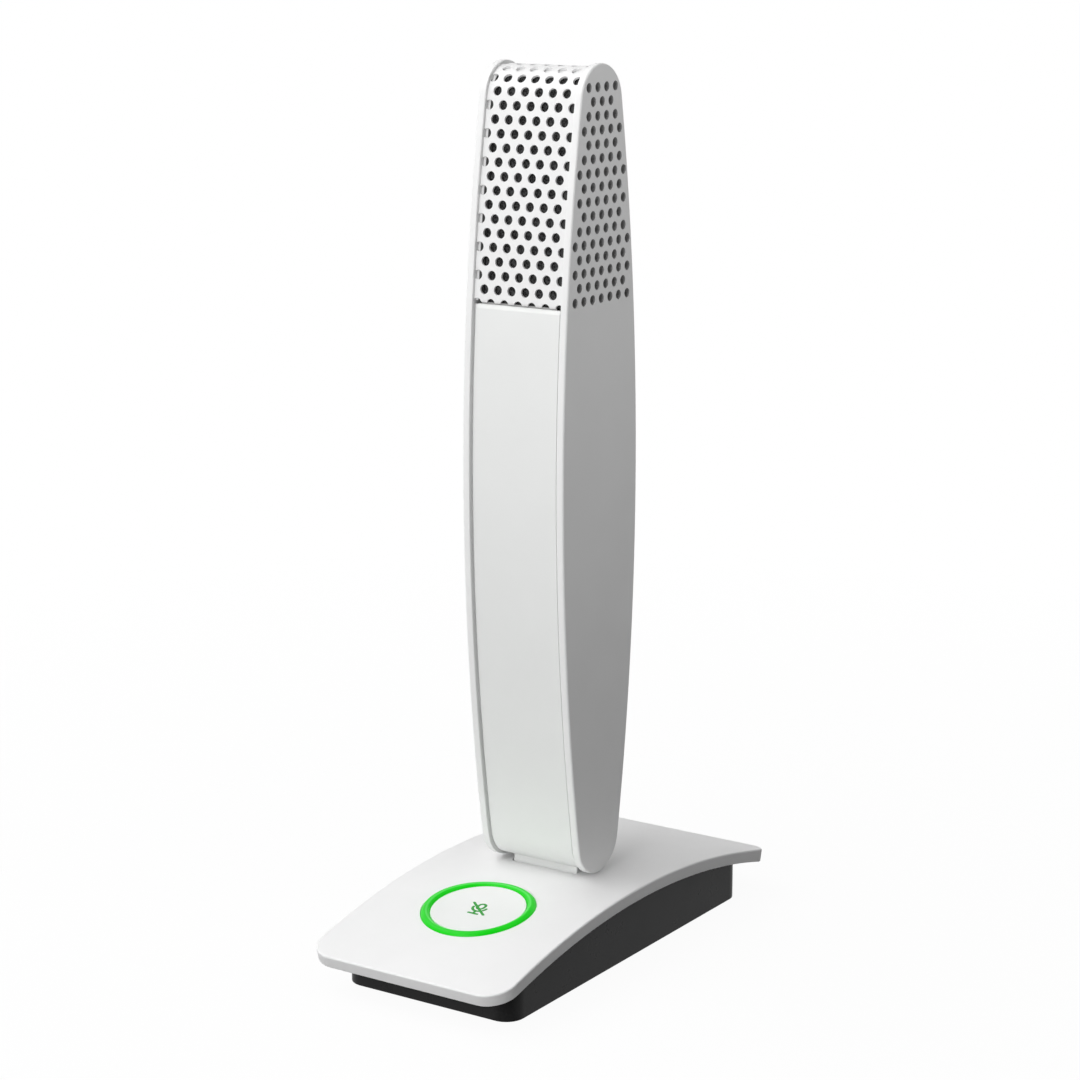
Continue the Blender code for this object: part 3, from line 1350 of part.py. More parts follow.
white_plastic = material("white matte plastic", (0.82, 0.83, 0.82), 0.45)
white_gloss = material("white satin plastic", (0.85, 0.85, 0.85), 0.30)
white_metal = material("white painted metal", (0.86, 0.86, 0.86), 0.40)
black_plastic = material("black matte plastic", (0.03, 0.03, 0.03), 0.50)
foam_black = material("black foam", (0.02, 0.02, 0.02), 0.95)
rubber = material("black rubber", (0.03, 0.03, 0.03), 0.80)
steel = material("bright steel", (0.60, 0.60, 0.60), 0.30, 1.0)
brass = material("capsule brass", (0.70, 0.55, 0.30), 0.35, 1.0)
green_board = material("green circuit board", (0.03, 0.22, 0.10), 0.50)
green_light = material("lit green plastic", (0.02, 0.70, 0.03), 0.30)

column_pieces = [make_side_cover("side_cover_left", -1), make_side_cover("side_cover_right", 1),
                 make_grille(), make_panel("front_panel", -1), make_panel("rear_panel", 1),
                 make_inner_frame(), make_foam(), make_capsule(), make_capsule_mount(), make_capsule_lead(),
                 make_preamp_board(), *make_preamp_screws(), make_hinge_pin(),
                 make_friction_washer("friction_washer_left", -1),
                 make_friction_washer("friction_washer_right", 1)]
button_pieces = [make_mute_button(), make_switch_plunger()]

make_neck()
make_neck_screws()
make_base_plate()
make_light_ring()
make_button_board()
make_button_board_screws()
make_status_leds()
make_mute_switch()
make_base_tray()
make_rubber_feet()
make_tray_screws()
make_ballast()
make_main_board()
make_main_board_screws()
make_usb_socket()
make_usb_tongue()

hang_on(axis_empty("column_tilt_axis", (0, 0, tilt_height)), column_pieces)
hang_on(axis_empty("mute_press_axis", button_matrix().translation, button_matrix().to_euler()), button_pieces)
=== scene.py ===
# Desktop USB microphone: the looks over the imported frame. Metres, +Z up, the front faces -Y.
import json
import math

import bmesh
import bpy
from mathutils import Matrix, Vector


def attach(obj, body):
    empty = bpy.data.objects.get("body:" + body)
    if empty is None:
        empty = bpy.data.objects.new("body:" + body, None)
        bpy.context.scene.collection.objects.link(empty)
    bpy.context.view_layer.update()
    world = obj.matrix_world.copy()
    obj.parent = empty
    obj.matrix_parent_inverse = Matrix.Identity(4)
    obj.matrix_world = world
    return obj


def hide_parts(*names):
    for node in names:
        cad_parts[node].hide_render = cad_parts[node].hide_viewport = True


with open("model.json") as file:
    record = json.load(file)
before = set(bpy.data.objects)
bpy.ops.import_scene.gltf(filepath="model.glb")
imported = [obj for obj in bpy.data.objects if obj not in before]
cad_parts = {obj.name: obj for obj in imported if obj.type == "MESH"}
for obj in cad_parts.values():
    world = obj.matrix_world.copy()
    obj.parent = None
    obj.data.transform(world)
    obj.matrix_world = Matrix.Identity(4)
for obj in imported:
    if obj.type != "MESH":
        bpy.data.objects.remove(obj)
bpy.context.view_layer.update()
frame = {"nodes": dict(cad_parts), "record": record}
nodes = frame["nodes"]
scene = bpy.context.scene

# Sizes follow the last reading of the photo, so a few differ a little from the solids'
SNAP = 1e-6  # what lies nearer than this counts as on a plane
GAP = 0.00012  # round the button and the ring

# Base plate, an arched slab
PLATE_HEIGHT = 0.0200  # of the arc's top
PLATE_ARCH = 0.2330  # radius of the arc
PLATE_MIDDLE = -0.0008  # y of the arc's top
PLATE_THICKNESS = 0.0032
PLATE_HALF_WIDTH = 0.0583 / 2
PLATE_FRONT = 0.0657
PLATE_REAR = 0.0649
PLATE_FRONT_CORNER = 0.0072
PLATE_REAR_CORNER = 0.0060
PLATE_TOP_FILLET = 0.00048
PLATE_UNDER_FILLET = 0.0002
REAR_RISE = 0.00045  # how far the rear end lies over the arc
RISE_START = 0.050
NECK_SLOT_HALF_DEPTH = 0.0031
NECK_SLOT_MARGIN = 0.0001
NECK_SLOT_LOW, NECK_SLOT_HIGH = 0.010, 0.030
WELL_DEPTH = 0.008
CUT_OVER = 0.004  # how far the round cuts reach over the plate

# Base tray
TRAY_HALF_WIDTH = 0.0508 / 2
TRAY_HALF_LENGTH = 0.1100 / 2
TRAY_CORNER = 0.0050
TRAY_BOTTOM = 0.00005
TRAY_FILLET = 0.0003
TRAY_BLANK_TOP = 0.024  # before the top is brought down to the arc
TRAY_WALL_TOP = 0.020  # what lies higher belongs to the blank's top
TRAY_SEAM = 0.0001  # between the tray's top and the plate
TRAY_CUT_UNDER = 0.001  # how far the cuts start under the tray
FOOT_X, FOOT_Y, FOOT_RADIUS, FOOT_SINK = 0.013, 0.044, 0.0048, 0.0013
SCREW_X, SCREW_Y, SCREW_RADIUS, SCREW_SINK = 0.0204, 0.045, 0.0022, 0.0020
PORT_HALF_REACH, PORT_RADIUS, PORT_HEIGHT = 0.0029, 0.0019, 0.0064
PORT_FRONT, PORT_REAR = 0.0460, 0.0570

# Column, a lens shape seen from the side
COLUMN_HALF_WIDTH = 0.0150
LENS_HALF_DEPTH = 0.0170
LENS_RADIUS = 0.580
COLUMN_BOTTOM = 0.0206
COLUMN_TOP = COLUMN_BOTTOM + 0.2050
WIDEST = COLUMN_BOTTOM + 0.1021
FACE_RECESS = 0.0008  # of the grille and panels under the covers' edge

# Side covers and their holes
COVER_THICKNESS = 0.00205
COVER_FILLET = 0.00055
HOLE_ROWS = (4, 3, 4, 5, 4, 5, 6, 5, 6, 5, 6, 7, 6, 7, 6, 7)
HOLE_PITCH = 0.00394
HOLE_ROW_PITCH = 0.003415
HOLE_FIRST_ROW = 0.0056  # under the column's top
HOLE_RADIUS = 0.0012
HOLE_SIDES = 28
HOLE_CUT = (0.010, 0.020)  # x, from inside the cover to outside
HOLE_SHADE_RADIUS = 0.00118  # of the painted shade in the holes, a darker grey on their walls
HOLE_SHADE_INNER_MARGIN = 0.00002
HOLE_SHADE_OUTER_MARGIN = 0.00012

# Grille, a sheet bent over the head
GRILLE_BOTTOM = COLUMN_TOP - 0.05815
GRILLE_THICKNESS = 0.0006
GRILLE_SIDE_GAP = 0.00005
GRILLE_PITCH = 0.004023
GRILLE_ROW_PITCH = 0.00345
GRILLE_HOLE_RADIUS = 0.00120
GRILLE_FIRST_ROW = 0.0110  # way from the top to row 0, on the front
GRILLE_CELL_STEPS = 6  # per side of a hole's cell
SHEET_BEND = 0.0007  # the front edge turns in over this length
BEND_RADIUS = 0.0012

# Lining: strips behind the grille's edges, a crown over the head, and seats beside the panels
LINER_LEVELS = (-0.00065, -0.00087)
LINER_WIDTH = 0.0007
LINER_END = 0.0004
CROWN_MARGIN = 0.0008
CROWN_REACH = 0.0057
SEAT_LEVELS = (-0.00062, -0.00090)
SEAT_START = 0.0005
SEAT_MARGIN = 0.00002

# Front and rear panels
PANEL_TOP = GRILLE_BOTTOM - 0.00035
PANEL_THICKNESS = 0.0016
PANEL_HALF_WIDTH = 0.01234
PANEL_WRAP = math.radians(78)
PANEL_FILLET = 0.00018
PANEL_CORNER = 0.0005
TOP_SLOPE = 0.00105  # the top edge falls away over this length
TOP_DROP = 0.00045
TOP_SLOPE_STOPS = (0.15, 0.4, 0.7, 0.85, 1.0, 1.15)
TONGUE_MARGIN = 0.0014
TONGUE_OVER, TONGUE_UNDER = 0.00050, 0.0004  # over the panel's top edge and under it
NOTCH_FRONT = math.radians(66.5)
NOTCH_REAR = math.radians(47.5)
NOTCH_MARGIN = 0.0005

# Neck
NECK_HALF_WIDTH = 0.0098
NECK_HALF_DEPTH = 0.0022
NECK_FLARE = 0.00015
NECK_FLARE_HEIGHT = 0.0012
NECK_FILLET = 0.00045
KNUCKLE_RADIUS = 0.0065

# Light ring and button
BUTTON_ALONG = 0.03255  # from the origin towards the front
RING_RADIUS = 0.01342
RING_TUBE = 0.00115
RING_SINK = 0.00035
RING_TILT = math.asin((BUTTON_ALONG + PLATE_MIDDLE) / PLATE_ARCH)
BUTTON_RADIUS = RING_RADIUS - RING_TUBE - GAP
BUTTON_DISH = 0.0003
BUTTON_RIM = 0.00022
SKIRT_RADIUS = BUTTON_RADIUS + 0.0008
HOLLOW_RADIUS = 0.0060  # of the hollow in the underside
SKIRT_SHOULDER, SKIRT_TOP, SKIRT_FOOT = -0.0040, -0.0041, -0.0048
MARK_SCALE = 1.3
MARK_LINE = 0.00055
MARK_LIFT = 0.00002  # of the print over the button
YOKE_HEIGHT, YOKE_RADIUS = 0.0006, 0.00145

# Studio
FLOOR_RADIUS = 2.4
FLOOR_DROP = 0.00002
FLOOR_WASH = 0.95  # the backdrop's share in the floor that the camera sees
FLOOR_CARD_MIDDLE = (0.0204, -0.0500)  # the middle of the tray's front right corner
CARD_DIRECTION = (0.554, -0.833, 0)
WORLD_GLOWS = (((-1, 0, 0), 0.54), ((1, 0, 0), 0.14), ((0, 1, 0), 0.27), ((0, 0, -1), 1.65))
LAMPS = (  # name, place, aim, size, power
    ("key", (-0.9, -1.5, 1.3), (0, 0, 0.10), (1.2, 1.2), 4.8),
    ("front", (0.1, -1.9, 0.55), (0, 0, 0.10), (1.2, 1.2), 19.3),
    ("left_high", (-0.9, -0.2, 1.3), (0, 0, 0.10), (1.0, 1.0), 7.6),
    ("right_high", (0.9, -0.1, 1.1), (0, 0, 0.12), (0.8, 0.8), 1.9),
    ("top_front", (-0.2, -1.0, 1.7), (0, 0, 0.05), (1.2, 1.2), 10.4),
)
CAMERA_PLACE = (0.38175, -0.57862, 0.26417)
CAMERA_TILT = math.radians(77.157)
CAMERA_TURN = math.radians(33.627)
CAMERA_LENS = 93.78
CAMERA_SENSOR = 36
CAMERA_NEAR = 0.02


def spread(start, end, steps):
    return [start + (end - start) * step / steps for step in range(steps + 1)]


def arc(centre, radius, turns):
    """Points at a radius round a centre, at turns in radians."""
    return [(centre[0] + radius * math.cos(turn), centre[1] + radius * math.sin(turn)) for turn in turns]


def spread_degrees(start, end, steps):
    """Even turns in radians, between two angles in degrees."""
    return [math.radians(turn) for turn in spread(start, end, steps)]


class Lens:
    """The column's outline at a depth under the covers' edge: two long arcs, and a cap at top and foot."""

    def __init__(self, depth):
        self.centre = LENS_RADIUS - LENS_HALF_DEPTH
        self.radius = LENS_RADIUS - depth
        full_bottom = self.cap(WIDEST - COLUMN_BOTTOM)
        full_top = self.cap(COLUMN_TOP - WIDEST)
        self.low = COLUMN_BOTTOM + full_bottom
        self.high = COLUMN_TOP - full_top
        self.low_radius = full_bottom - depth
        self.high_radius = full_top - depth
        self.top_turn = math.asin((self.high - WIDEST) / (self.radius - self.high_radius))
        self.bottom_turn = math.asin((WIDEST - self.low) / (self.radius - self.low_radius))
        self.cap_length = self.high_radius * (math.pi / 2 - self.top_turn)
        self.arc_length = self.radius * (self.top_turn + self.bottom_turn)
        self.arc_end = self.cap_length + self.arc_length

    def cap(self, reach):
        """The radius of the cap that ends the arcs at a reach from the widest place."""
        return (LENS_RADIUS ** 2 - self.centre ** 2 - reach ** 2) / (2 * (LENS_RADIUS - reach))

    def along_to(self, z):
        """The way along the surface from the top down to a height on the long arc."""
        return self.cap_length + self.radius * (self.top_turn - math.asin((z - WIDEST) / self.radius))

    def along_to_wrap(self, angle):
        """The way along the surface from the top to an angle under level on the lower cap."""
        return self.arc_end + self.low_radius * (angle - self.bottom_turn)

    def point(self, along, level=0.0):
        """(y, z) at a way along from the top, + to the rear, and a level over the surface."""
        way = abs(along)
        if way <= self.cap_length:
            angle = math.pi / 2 - way / self.high_radius
            radius = self.high_radius + level
            y, z = -radius * math.cos(angle), self.high + radius * math.sin(angle)
        elif way <= self.arc_end:
            angle = self.top_turn - (way - self.cap_length) / self.radius
            radius = self.radius + level
            y, z = self.centre - radius * math.cos(angle), WIDEST + radius * math.sin(angle)
        else:
            angle = self.bottom_turn + (way - self.cap_length - self.arc_length) / self.low_radius
            radius = self.low_radius + level
            y, z = -radius * math.cos(angle), self.low - radius * math.sin(angle)
        return (-y, z) if along > 0 else (y, z)


def arch_point(x, along, level):
    """The place at a way along the plate's arc, + to the rear, and a level over it."""
    angle = along / PLATE_ARCH
    reach = PLATE_ARCH + level
    return Vector((x, PLATE_MIDDLE + reach * math.sin(angle),
                   PLATE_HEIGHT - PLATE_ARCH + reach * math.cos(angle)))


def arch_height(y, level):
    return PLATE_HEIGHT - PLATE_ARCH + math.sqrt((PLATE_ARCH + level) ** 2 - (y - PLATE_MIDDLE) ** 2)


def button_matrix():
    return Matrix.Translation(arch_point(0, -PLATE_ARCH * RING_TILT, 0)) @ Matrix.Rotation(RING_TILT, 4, "X")


# Materials

def node_material(name, colour, roughness, metallic=0.0):
    """A Principled material and the parts of its node tree that the finishes below add to."""
    made = bpy.data.materials.new(name)
    made.use_nodes = True
    tree = made.node_tree
    shader = tree.nodes["Principled BSDF"]
    shader.inputs["Base Color"].default_value = (*colour, 1)
    shader.inputs["Roughness"].default_value = roughness
    shader.inputs["Metallic"].default_value = metallic
    coordinates = tree.nodes.new("ShaderNodeTexCoord")
    return made, tree, shader, coordinates.outputs["Object"]


def noise(tree, source, scale, detail=2.0, roughness=0.5):
    made = tree.nodes.new("ShaderNodeTexNoise")
    made.inputs["Scale"].default_value = scale
    made.inputs["Detail"].default_value = detail
    made.inputs["Roughness"].default_value = roughness
    tree.links.new(source, made.inputs["Vector"])
    return made.outputs["Fac"]


def remap(tree, source, low, high, start=0.3, end=0.7):
    """Takes start..end to low..high, and holds it there outside."""
    made = tree.nodes.new("ShaderNodeMapRange")
    made.inputs["From Min"].default_value = start
    made.inputs["From Max"].default_value = end
    made.inputs["To Min"].default_value = low
    made.inputs["To Max"].default_value = high
    tree.links.new(source, made.inputs["Value"])
    return made.outputs["Result"]


def tint(tree, factor, low, high):
    """A mix of two colours, each of them given as numbers or as a node's output."""
    made = tree.nodes.new("ShaderNodeMix")
    made.data_type = "RGBA"
    for side, colour in (("A", low), ("B", high)):
        if isinstance(colour, tuple):
            made.inputs[side].default_value = (*colour, 1)
        else:
            tree.links.new(colour, made.inputs[side])
    tree.links.new(factor, made.inputs["Factor"])
    return made.outputs["Result"]


def combined(tree, operation, first, second):
    made = tree.nodes.new("ShaderNodeMath")
    made.operation = operation
    tree.links.new(first, made.inputs[0])
    tree.links.new(second, made.inputs[1])
    return made.outputs["Value"]


def vector_step(tree, operation, source, *others):
    """One step of vector mathematics, with the values of the inputs after the first."""
    made = tree.nodes.new("ShaderNodeVectorMath")
    made.operation = operation
    for place, value in enumerate(others, start=1):
        made.inputs[place].default_value = value
    tree.links.new(source, made.inputs[0])
    return made.outputs["Value" if operation in ("LENGTH", "DOT_PRODUCT") else "Vector"]


def bump(tree, shader, height, strength, distance):
    made = tree.nodes.new("ShaderNodeBump")
    made.inputs["Strength"].default_value = strength
    made.inputs["Distance"].default_value = distance
    tree.links.new(height, made.inputs["Height"])
    tree.links.new(made.outputs["Normal"], shader.inputs["Normal"])


def moulded(name, colour, roughness, grain=4200.0, grain_depth=0.000012, spread_of_tone=0.012, coat=0.0,
            specular=0.5):
    """Moulded or painted surface: fine grain, cloudy roughness, and a trace of uneven tone."""
    made, tree, shader, place = node_material(name, colour, roughness)
    clouds = noise(tree, place, 55.0, 3.0)
    darker = tuple(channel * (1 - spread_of_tone) for channel in colour)
    lighter = tuple(min(1.0, channel * (1 + spread_of_tone)) for channel in colour)
    tree.links.new(tint(tree, remap(tree, clouds, 0.0, 1.0), darker, lighter), shader.inputs["Base Color"])
    smudges = noise(tree, place, 130.0, 4.0, 0.6)
    tree.links.new(remap(tree, smudges, roughness - 0.05, roughness + 0.06), shader.inputs["Roughness"])
    bump(tree, shader, noise(tree, place, grain, 3.0, 0.65), 0.55, grain_depth)
    shader.inputs["Coat Weight"].default_value = coat
    shader.inputs["Coat Roughness"].default_value = 0.25
    shader.inputs["Specular IOR Level"].default_value = specular
    return made


def metal(name, colour, roughness):
    made, tree, shader, place = node_material(name, colour, roughness, 1.0)
    marks = noise(tree, place, 2600.0, 4.0, 0.6)
    tree.links.new(remap(tree, marks, roughness - 0.08, roughness + 0.12), shader.inputs["Roughness"])
    bump(tree, shader, marks, 0.3, 0.00001)
    return made


def foam_material(name):
    made, tree, shader, place = node_material(name, (0.012, 0.012, 0.013), 0.95)
    cells = tree.nodes.new("ShaderNodeTexVoronoi")
    cells.inputs["Scale"].default_value = 2100.0
    tree.links.new(place, cells.inputs["Vector"])
    tone = remap(tree, cells.outputs["Distance"], 0.0, 1.0, 0.2, 0.75)
    colour = tint(tree, tone, (0.001, 0.001, 0.001), (0.065, 0.065, 0.066))
    tree.links.new(colour, shader.inputs["Base Color"])
    bump(tree, shader, cells.outputs["Distance"], 0.9, 0.0003)
    shader.inputs["Specular IOR Level"].default_value = 0.15
    return made


def light_guide(name):
    """The lit ring: green that glows, with a painted highlight, a paler line along the band a little inside
    its middle.
    """
    made, tree, shader, place = node_material(name, (0.002, 0.30, 0.003), 0.34)
    clouds = noise(tree, place, 300.0, 2.0)
    cloudy = tint(tree, remap(tree, clouds, 0.0, 1.0), (0.0015, 0.29, 0.003), (0.0025, 0.31, 0.004))
    centred = vector_step(tree, "MULTIPLY_ADD", place, (1, 1 / math.cos(RING_TILT), 0),
                          (0, BUTTON_ALONG / math.cos(RING_TILT), 0))
    reach = vector_step(tree, "LENGTH", centred)
    # painted highlight: paler green on a narrow circle a little inside the band's middle, where a soft light
    # is mirrored
    inner = remap(tree, reach, 0.0, 1.0, RING_RADIUS - 0.00070, RING_RADIUS - 0.00042)
    outer = remap(tree, reach, 1.0, 0.0, RING_RADIUS - 0.00022, RING_RADIUS + 0.00006)
    painted_highlight = tint(tree, combined(tree, "MULTIPLY", inner, outer), cloudy, (0.075, 0.40, 0.085))
    tree.links.new(painted_highlight, shader.inputs["Base Color"])
    tree.links.new(remap(tree, clouds, 0.32, 0.36), shader.inputs["Roughness"])
    bump(tree, shader, noise(tree, place, 3000.0, 2.0), 0.1, 0.000004)
    shader.inputs["Emission Color"].default_value = (0.001, 0.66, 0.002, 1)
    shader.inputs["Emission Strength"].default_value = 0.50
    shader.inputs["Specular IOR Level"].default_value = 0.20
    return made


def board_material(name):
    made, tree, shader, place = node_material(name, (0.01, 0.12, 0.05), 0.35)
    tracks = tree.nodes.new("ShaderNodeTexBrick")
    tracks.inputs["Scale"].default_value = 420.0
    tracks.inputs["Color1"].default_value = (0.010, 0.115, 0.045, 1)
    tracks.inputs["Color2"].default_value = (0.014, 0.150, 0.060, 1)
    tracks.inputs["Mortar"].default_value = (0.020, 0.200, 0.085, 1)
    tree.links.new(place, tracks.inputs["Vector"])
    tree.links.new(tracks.outputs["Color"], shader.inputs["Base Color"])
    bump(tree, shader, tracks.outputs["Fac"], 0.4, 0.00003)
    return made


cover_white = moulded("white_cover", (0.800, 0.802, 0.800), 0.42)
panel_white = moulded("white_panel", (0.768, 0.776, 0.768), 0.40)
grille_white = moulded("white_grille", (0.780, 0.780, 0.780), 0.45, grain=5200.0, grain_depth=0.00002)
base_white = moulded("white_base", (0.850, 0.850, 0.850), 0.50, specular=0.20)
button_white = moulded("white_button", (0.838, 0.848, 0.838), 0.34, coat=0.15)
tray_black = moulded("black_tray", (0.026, 0.026, 0.0265), 0.30, grain=3600.0, grain_depth=0.00002,
                     spread_of_tone=0.06, specular=0.09)
inner_black = moulded("black_plastic", (0.018, 0.018, 0.018), 0.55, grain_depth=0.00003, spread_of_tone=0.06)
rubber_black = moulded("rubber", (0.020, 0.020, 0.020), 0.80, grain=2500.0, grain_depth=0.00005,
                       spread_of_tone=0.10)
foam_black = foam_material("foam")
ring_green = light_guide("ring_light")
lining = moulded("lining", (0.76, 0.76, 0.76), 0.50)
# painted shade: a darker grey that stands for the shade on the walls of the covers' holes
hole_shade_grey = moulded("hole_shade_grey", (0.38, 0.38, 0.38), 0.60)
# painted shade: grey for the tongue, standing for the shade and dark gap seen through the grille's last half
# holes
tongue_shade_grey = moulded("tongue_shade_grey", (0.33, 0.33, 0.33), 0.55)
print_green = moulded("green_print", (0.004, 0.30, 0.012), 0.50, spread_of_tone=0.03)
lamp_white = moulded("led_white", (0.70, 0.76, 0.62), 0.35)
steel = metal("steel", (0.56, 0.56, 0.57), 0.32)
capsule_metal = metal("capsule_metal", (0.50, 0.50, 0.51), 0.40)
board_green = board_material("circuit_board")

by_slot = {"white_cover": cover_white, "white_panel": panel_white, "white_grille": grille_white,
           "white_base": base_white, "white_button": button_white, "black_tray": tray_black,
           "black_plastic": inner_black, "rubber": rubber_black, "foam": foam_black,
           "ring_light": ring_green, "led_white": lamp_white, "steel": steel,
           "capsule_metal": capsule_metal, "circuit_board": board_green}
for entry in frame["record"]["subparts"]:
    carried = nodes[entry["node"]]
    carried.data.materials.clear()
    carried.data.materials.append(by_slot[entry["material_slot"]])


# Mesh helpers

def link_mesh(name, bm):
    mesh = bpy.data.meshes.new(name)
    bm.to_mesh(mesh)
    bm.free()
    made = bpy.data.objects.new(name, mesh)
    scene.collection.objects.link(made)
    return made


def to_object(name, bm):
    """An object of a mesh, with its faces turned outwards."""
    bmesh.ops.recalc_face_normals(bm, faces=bm.faces)
    return link_mesh(name, bm)


def bake(made):
    """Replaces an object's modifiers by the mesh that they make."""
    bpy.context.view_layer.update()
    graph = bpy.context.evaluated_depsgraph_get()
    mesh = bpy.data.meshes.new_from_object(made.evaluated_get(graph))
    made.modifiers.clear()
    made.data = mesh


def carve(made, cutters):
    for cutter in cutters:
        modifier = made.modifiers.new(cutter.name, "BOOLEAN")
        modifier.operation = "DIFFERENCE"
        modifier.solver = "EXACT"
        modifier.object = cutter
    bake(made)
    for cutter in cutters:
        bpy.data.objects.remove(cutter, do_unlink=True)


def dress(made, material, body, replaced=(), sharp=32, weighted=True):
    """Gives a piece its shading, material and body, and hides the imported parts that it replaces."""
    made.data.materials.clear()
    made.data.materials.append(material)
    made.data.shade_smooth()
    made.data.set_sharp_from_angle(angle=math.radians(sharp))
    if weighted:
        normals = made.modifiers.new("normals", "WEIGHTED_NORMAL")
        normals.keep_sharp = True
        normals.weight = 80
    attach(made, body)
    if replaced:
        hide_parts(*replaced)


def bridge(bm, here, there):
    """Faces all round, from one closed loop of vertices to the next."""
    for i in range(len(here)):
        j = (i + 1) % len(here)
        bm.faces.new((here[i], there[i], there[j], here[j]))


def prism(points, low, high, axes):
    """A bmesh prism over an outline; axes maps (a, b, c) with c from low to high."""
    bm = bmesh.new()
    rims = [[bm.verts.new(axes(a, b, c)) for a, b in points] for c in (low, high)]
    bm.faces.new(rims[0])
    bm.faces.new(list(reversed(rims[1])))
    bridge(bm, *rims)
    bmesh.ops.recalc_face_normals(bm, faces=bm.faces)
    return bm


def upright(a, b, c):
    """Axes of a prism that stands along Z."""
    return (a, b, c)


def sideways(a, b, c):
    """Axes of a prism that lies along X, over an outline in Y and Z."""
    return (c, a, b)


def round_rim(bm, axis, place, offset, segments, mirrored=False):
    """Rounds the edges that lie at a place on an axis; mirrored takes both sides of the middle."""
    def on_rim(vertex):
        reach = abs(vertex.co[axis]) if mirrored else vertex.co[axis]
        return abs(reach - place) < SNAP

    rim = [edge for edge in bm.edges if all(on_rim(vertex) for vertex in edge.verts)]
    bmesh.ops.bevel(bm, geom=rim, offset=offset, segments=segments, profile=0.5, affect="EDGES")


def cut(bm, place, normal, clear_outer=False):
    everything = list(bm.verts) + list(bm.edges) + list(bm.faces)
    bmesh.ops.bisect_plane(bm, geom=everything, plane_co=place, plane_no=normal, clear_outer=clear_outer)


def slice_along(bm, stops):
    """Cuts edges across at y stops, so that the mesh can be bent along Y."""
    for stop in stops:
        cut(bm, (0, stop, 0), (0, 1, 0))


def cylinders(name, ends, radius, sides):
    bm = bmesh.new()
    for start, end in ends:
        start, end = Vector(start), Vector(end)
        way = end - start
        turn = way.to_track_quat("Z", "Y").to_matrix().to_4x4()
        bmesh.ops.create_cone(bm, cap_ends=True, segments=sides, radius1=radius, radius2=radius,
                              depth=way.length, matrix=Matrix.Translation((start + end) / 2) @ turn)
    return to_object(name, bm)


def standing_cylinders(name, half_x, half_y, low, high, radius, sides):
    """Four upright cylinders, one towards each corner."""
    ends = [((x, y, low), (x, y, high)) for x in (-half_x, half_x) for y in (-half_y, half_y)]
    return cylinders(name, ends, radius, sides)


def corner_points(half_width, low, high, low_radius, high_radius, steps):
    """A rectangle's outline with rounded corners, its own radius at each end."""
    points = []
    for side, end, radius, start in ((1, low, low_radius, -90), (1, high, high_radius, 0),
                                     (-1, high, high_radius, 90), (-1, low, low_radius, 180)):
        inward = radius if end == low else -radius
        centre = (side * (half_width - radius), end + inward)
        points += arc(centre, radius, spread_degrees(start, start + 90, steps))
    return points


def add_grid(bm, columns, levels):
    grid = [[bm.verts.new((x, along, 0)) for x in columns] for along in levels]
    for low, high in zip(grid, grid[1:]):
        for i in range(len(columns) - 1):
            bm.faces.new((low[i], low[i + 1], high[i + 1], high[i]))


def add_strip(bm, lens, sides, ways, levels):
    """A closed strip between two x places and two levels, along the column's face."""
    rings = []
    for way in ways:
        corners = [(x, level) for level, xs in ((levels[0], sides), (levels[1], sides[::-1])) for x in xs]
        rings.append([bm.verts.new((x, *lens.point(way, level))) for x, level in corners])
    for here, there in zip(rings, rings[1:]):
        bridge(bm, here, there)
    bm.faces.new(rings[0])
    bm.faces.new(rings[-1][::-1])


# Side covers

def make_cover(name, side):
    lens = Lens(0.0)
    ways = (spread(0, lens.cap_length, 26)[:-1] + spread(lens.cap_length, lens.arc_end, 44)[:-1]
            + spread(lens.arc_end, lens.along_to_wrap(math.pi / 2), 26))
    front = [lens.point(-way) for way in ways]
    points = front + [(-y, z) for y, z in reversed(front[1:-1])]
    outer = side * COLUMN_HALF_WIDTH
    inner = side * (COLUMN_HALF_WIDTH - COVER_THICKNESS)
    bm = prism(points, min(outer, inner), max(outer, inner), sideways)
    round_rim(bm, 0, outer, COVER_FILLET, 4)
    round_rim(bm, 0, inner, COVER_FILLET / 2, 3)
    made = to_object(name, bm)
    places = []
    for row, count in enumerate(HOLE_ROWS):
        z = COLUMN_TOP - HOLE_FIRST_ROW - row * HOLE_ROW_PITCH
        places += [((i - (count - 1) / 2) * HOLE_PITCH, z) for i in range(count)]
    ends = [[(side * reach, *place) for reach in HOLE_CUT] for place in places]
    carve(made, [cylinders("holes", ends, HOLE_RADIUS, HOLE_SIDES)])
    make_hole_shade(name, side, places)
    dress(made, cover_white, "column", [name])


def make_hole_shade(name, side, places):
    """Painted shade in a cover's holes: a darker grey sleeve over the hole walls."""
    bm = bmesh.new()
    turns = spread(0, 2 * math.pi, HOLE_SIDES)[:-1]
    inner = COLUMN_HALF_WIDTH - COVER_THICKNESS + HOLE_SHADE_INNER_MARGIN
    outer = COLUMN_HALF_WIDTH - HOLE_SHADE_OUTER_MARGIN
    section = ((inner, HOLE_SHADE_RADIUS), (outer, HOLE_SHADE_RADIUS), (outer, HOLE_RADIUS), (inner, HOLE_RADIUS))
    for place in places:
        rings = [[bm.verts.new((side * reach, y, z)) for y, z in arc(place, radius, turns)]
                 for reach, radius in section]
        for here, there in zip(rings, rings[1:] + rings[:1]):
            bridge(bm, here, there)
    dress(to_object(name + "_holes", bm), hole_shade_grey, "column", weighted=False)


# Grille

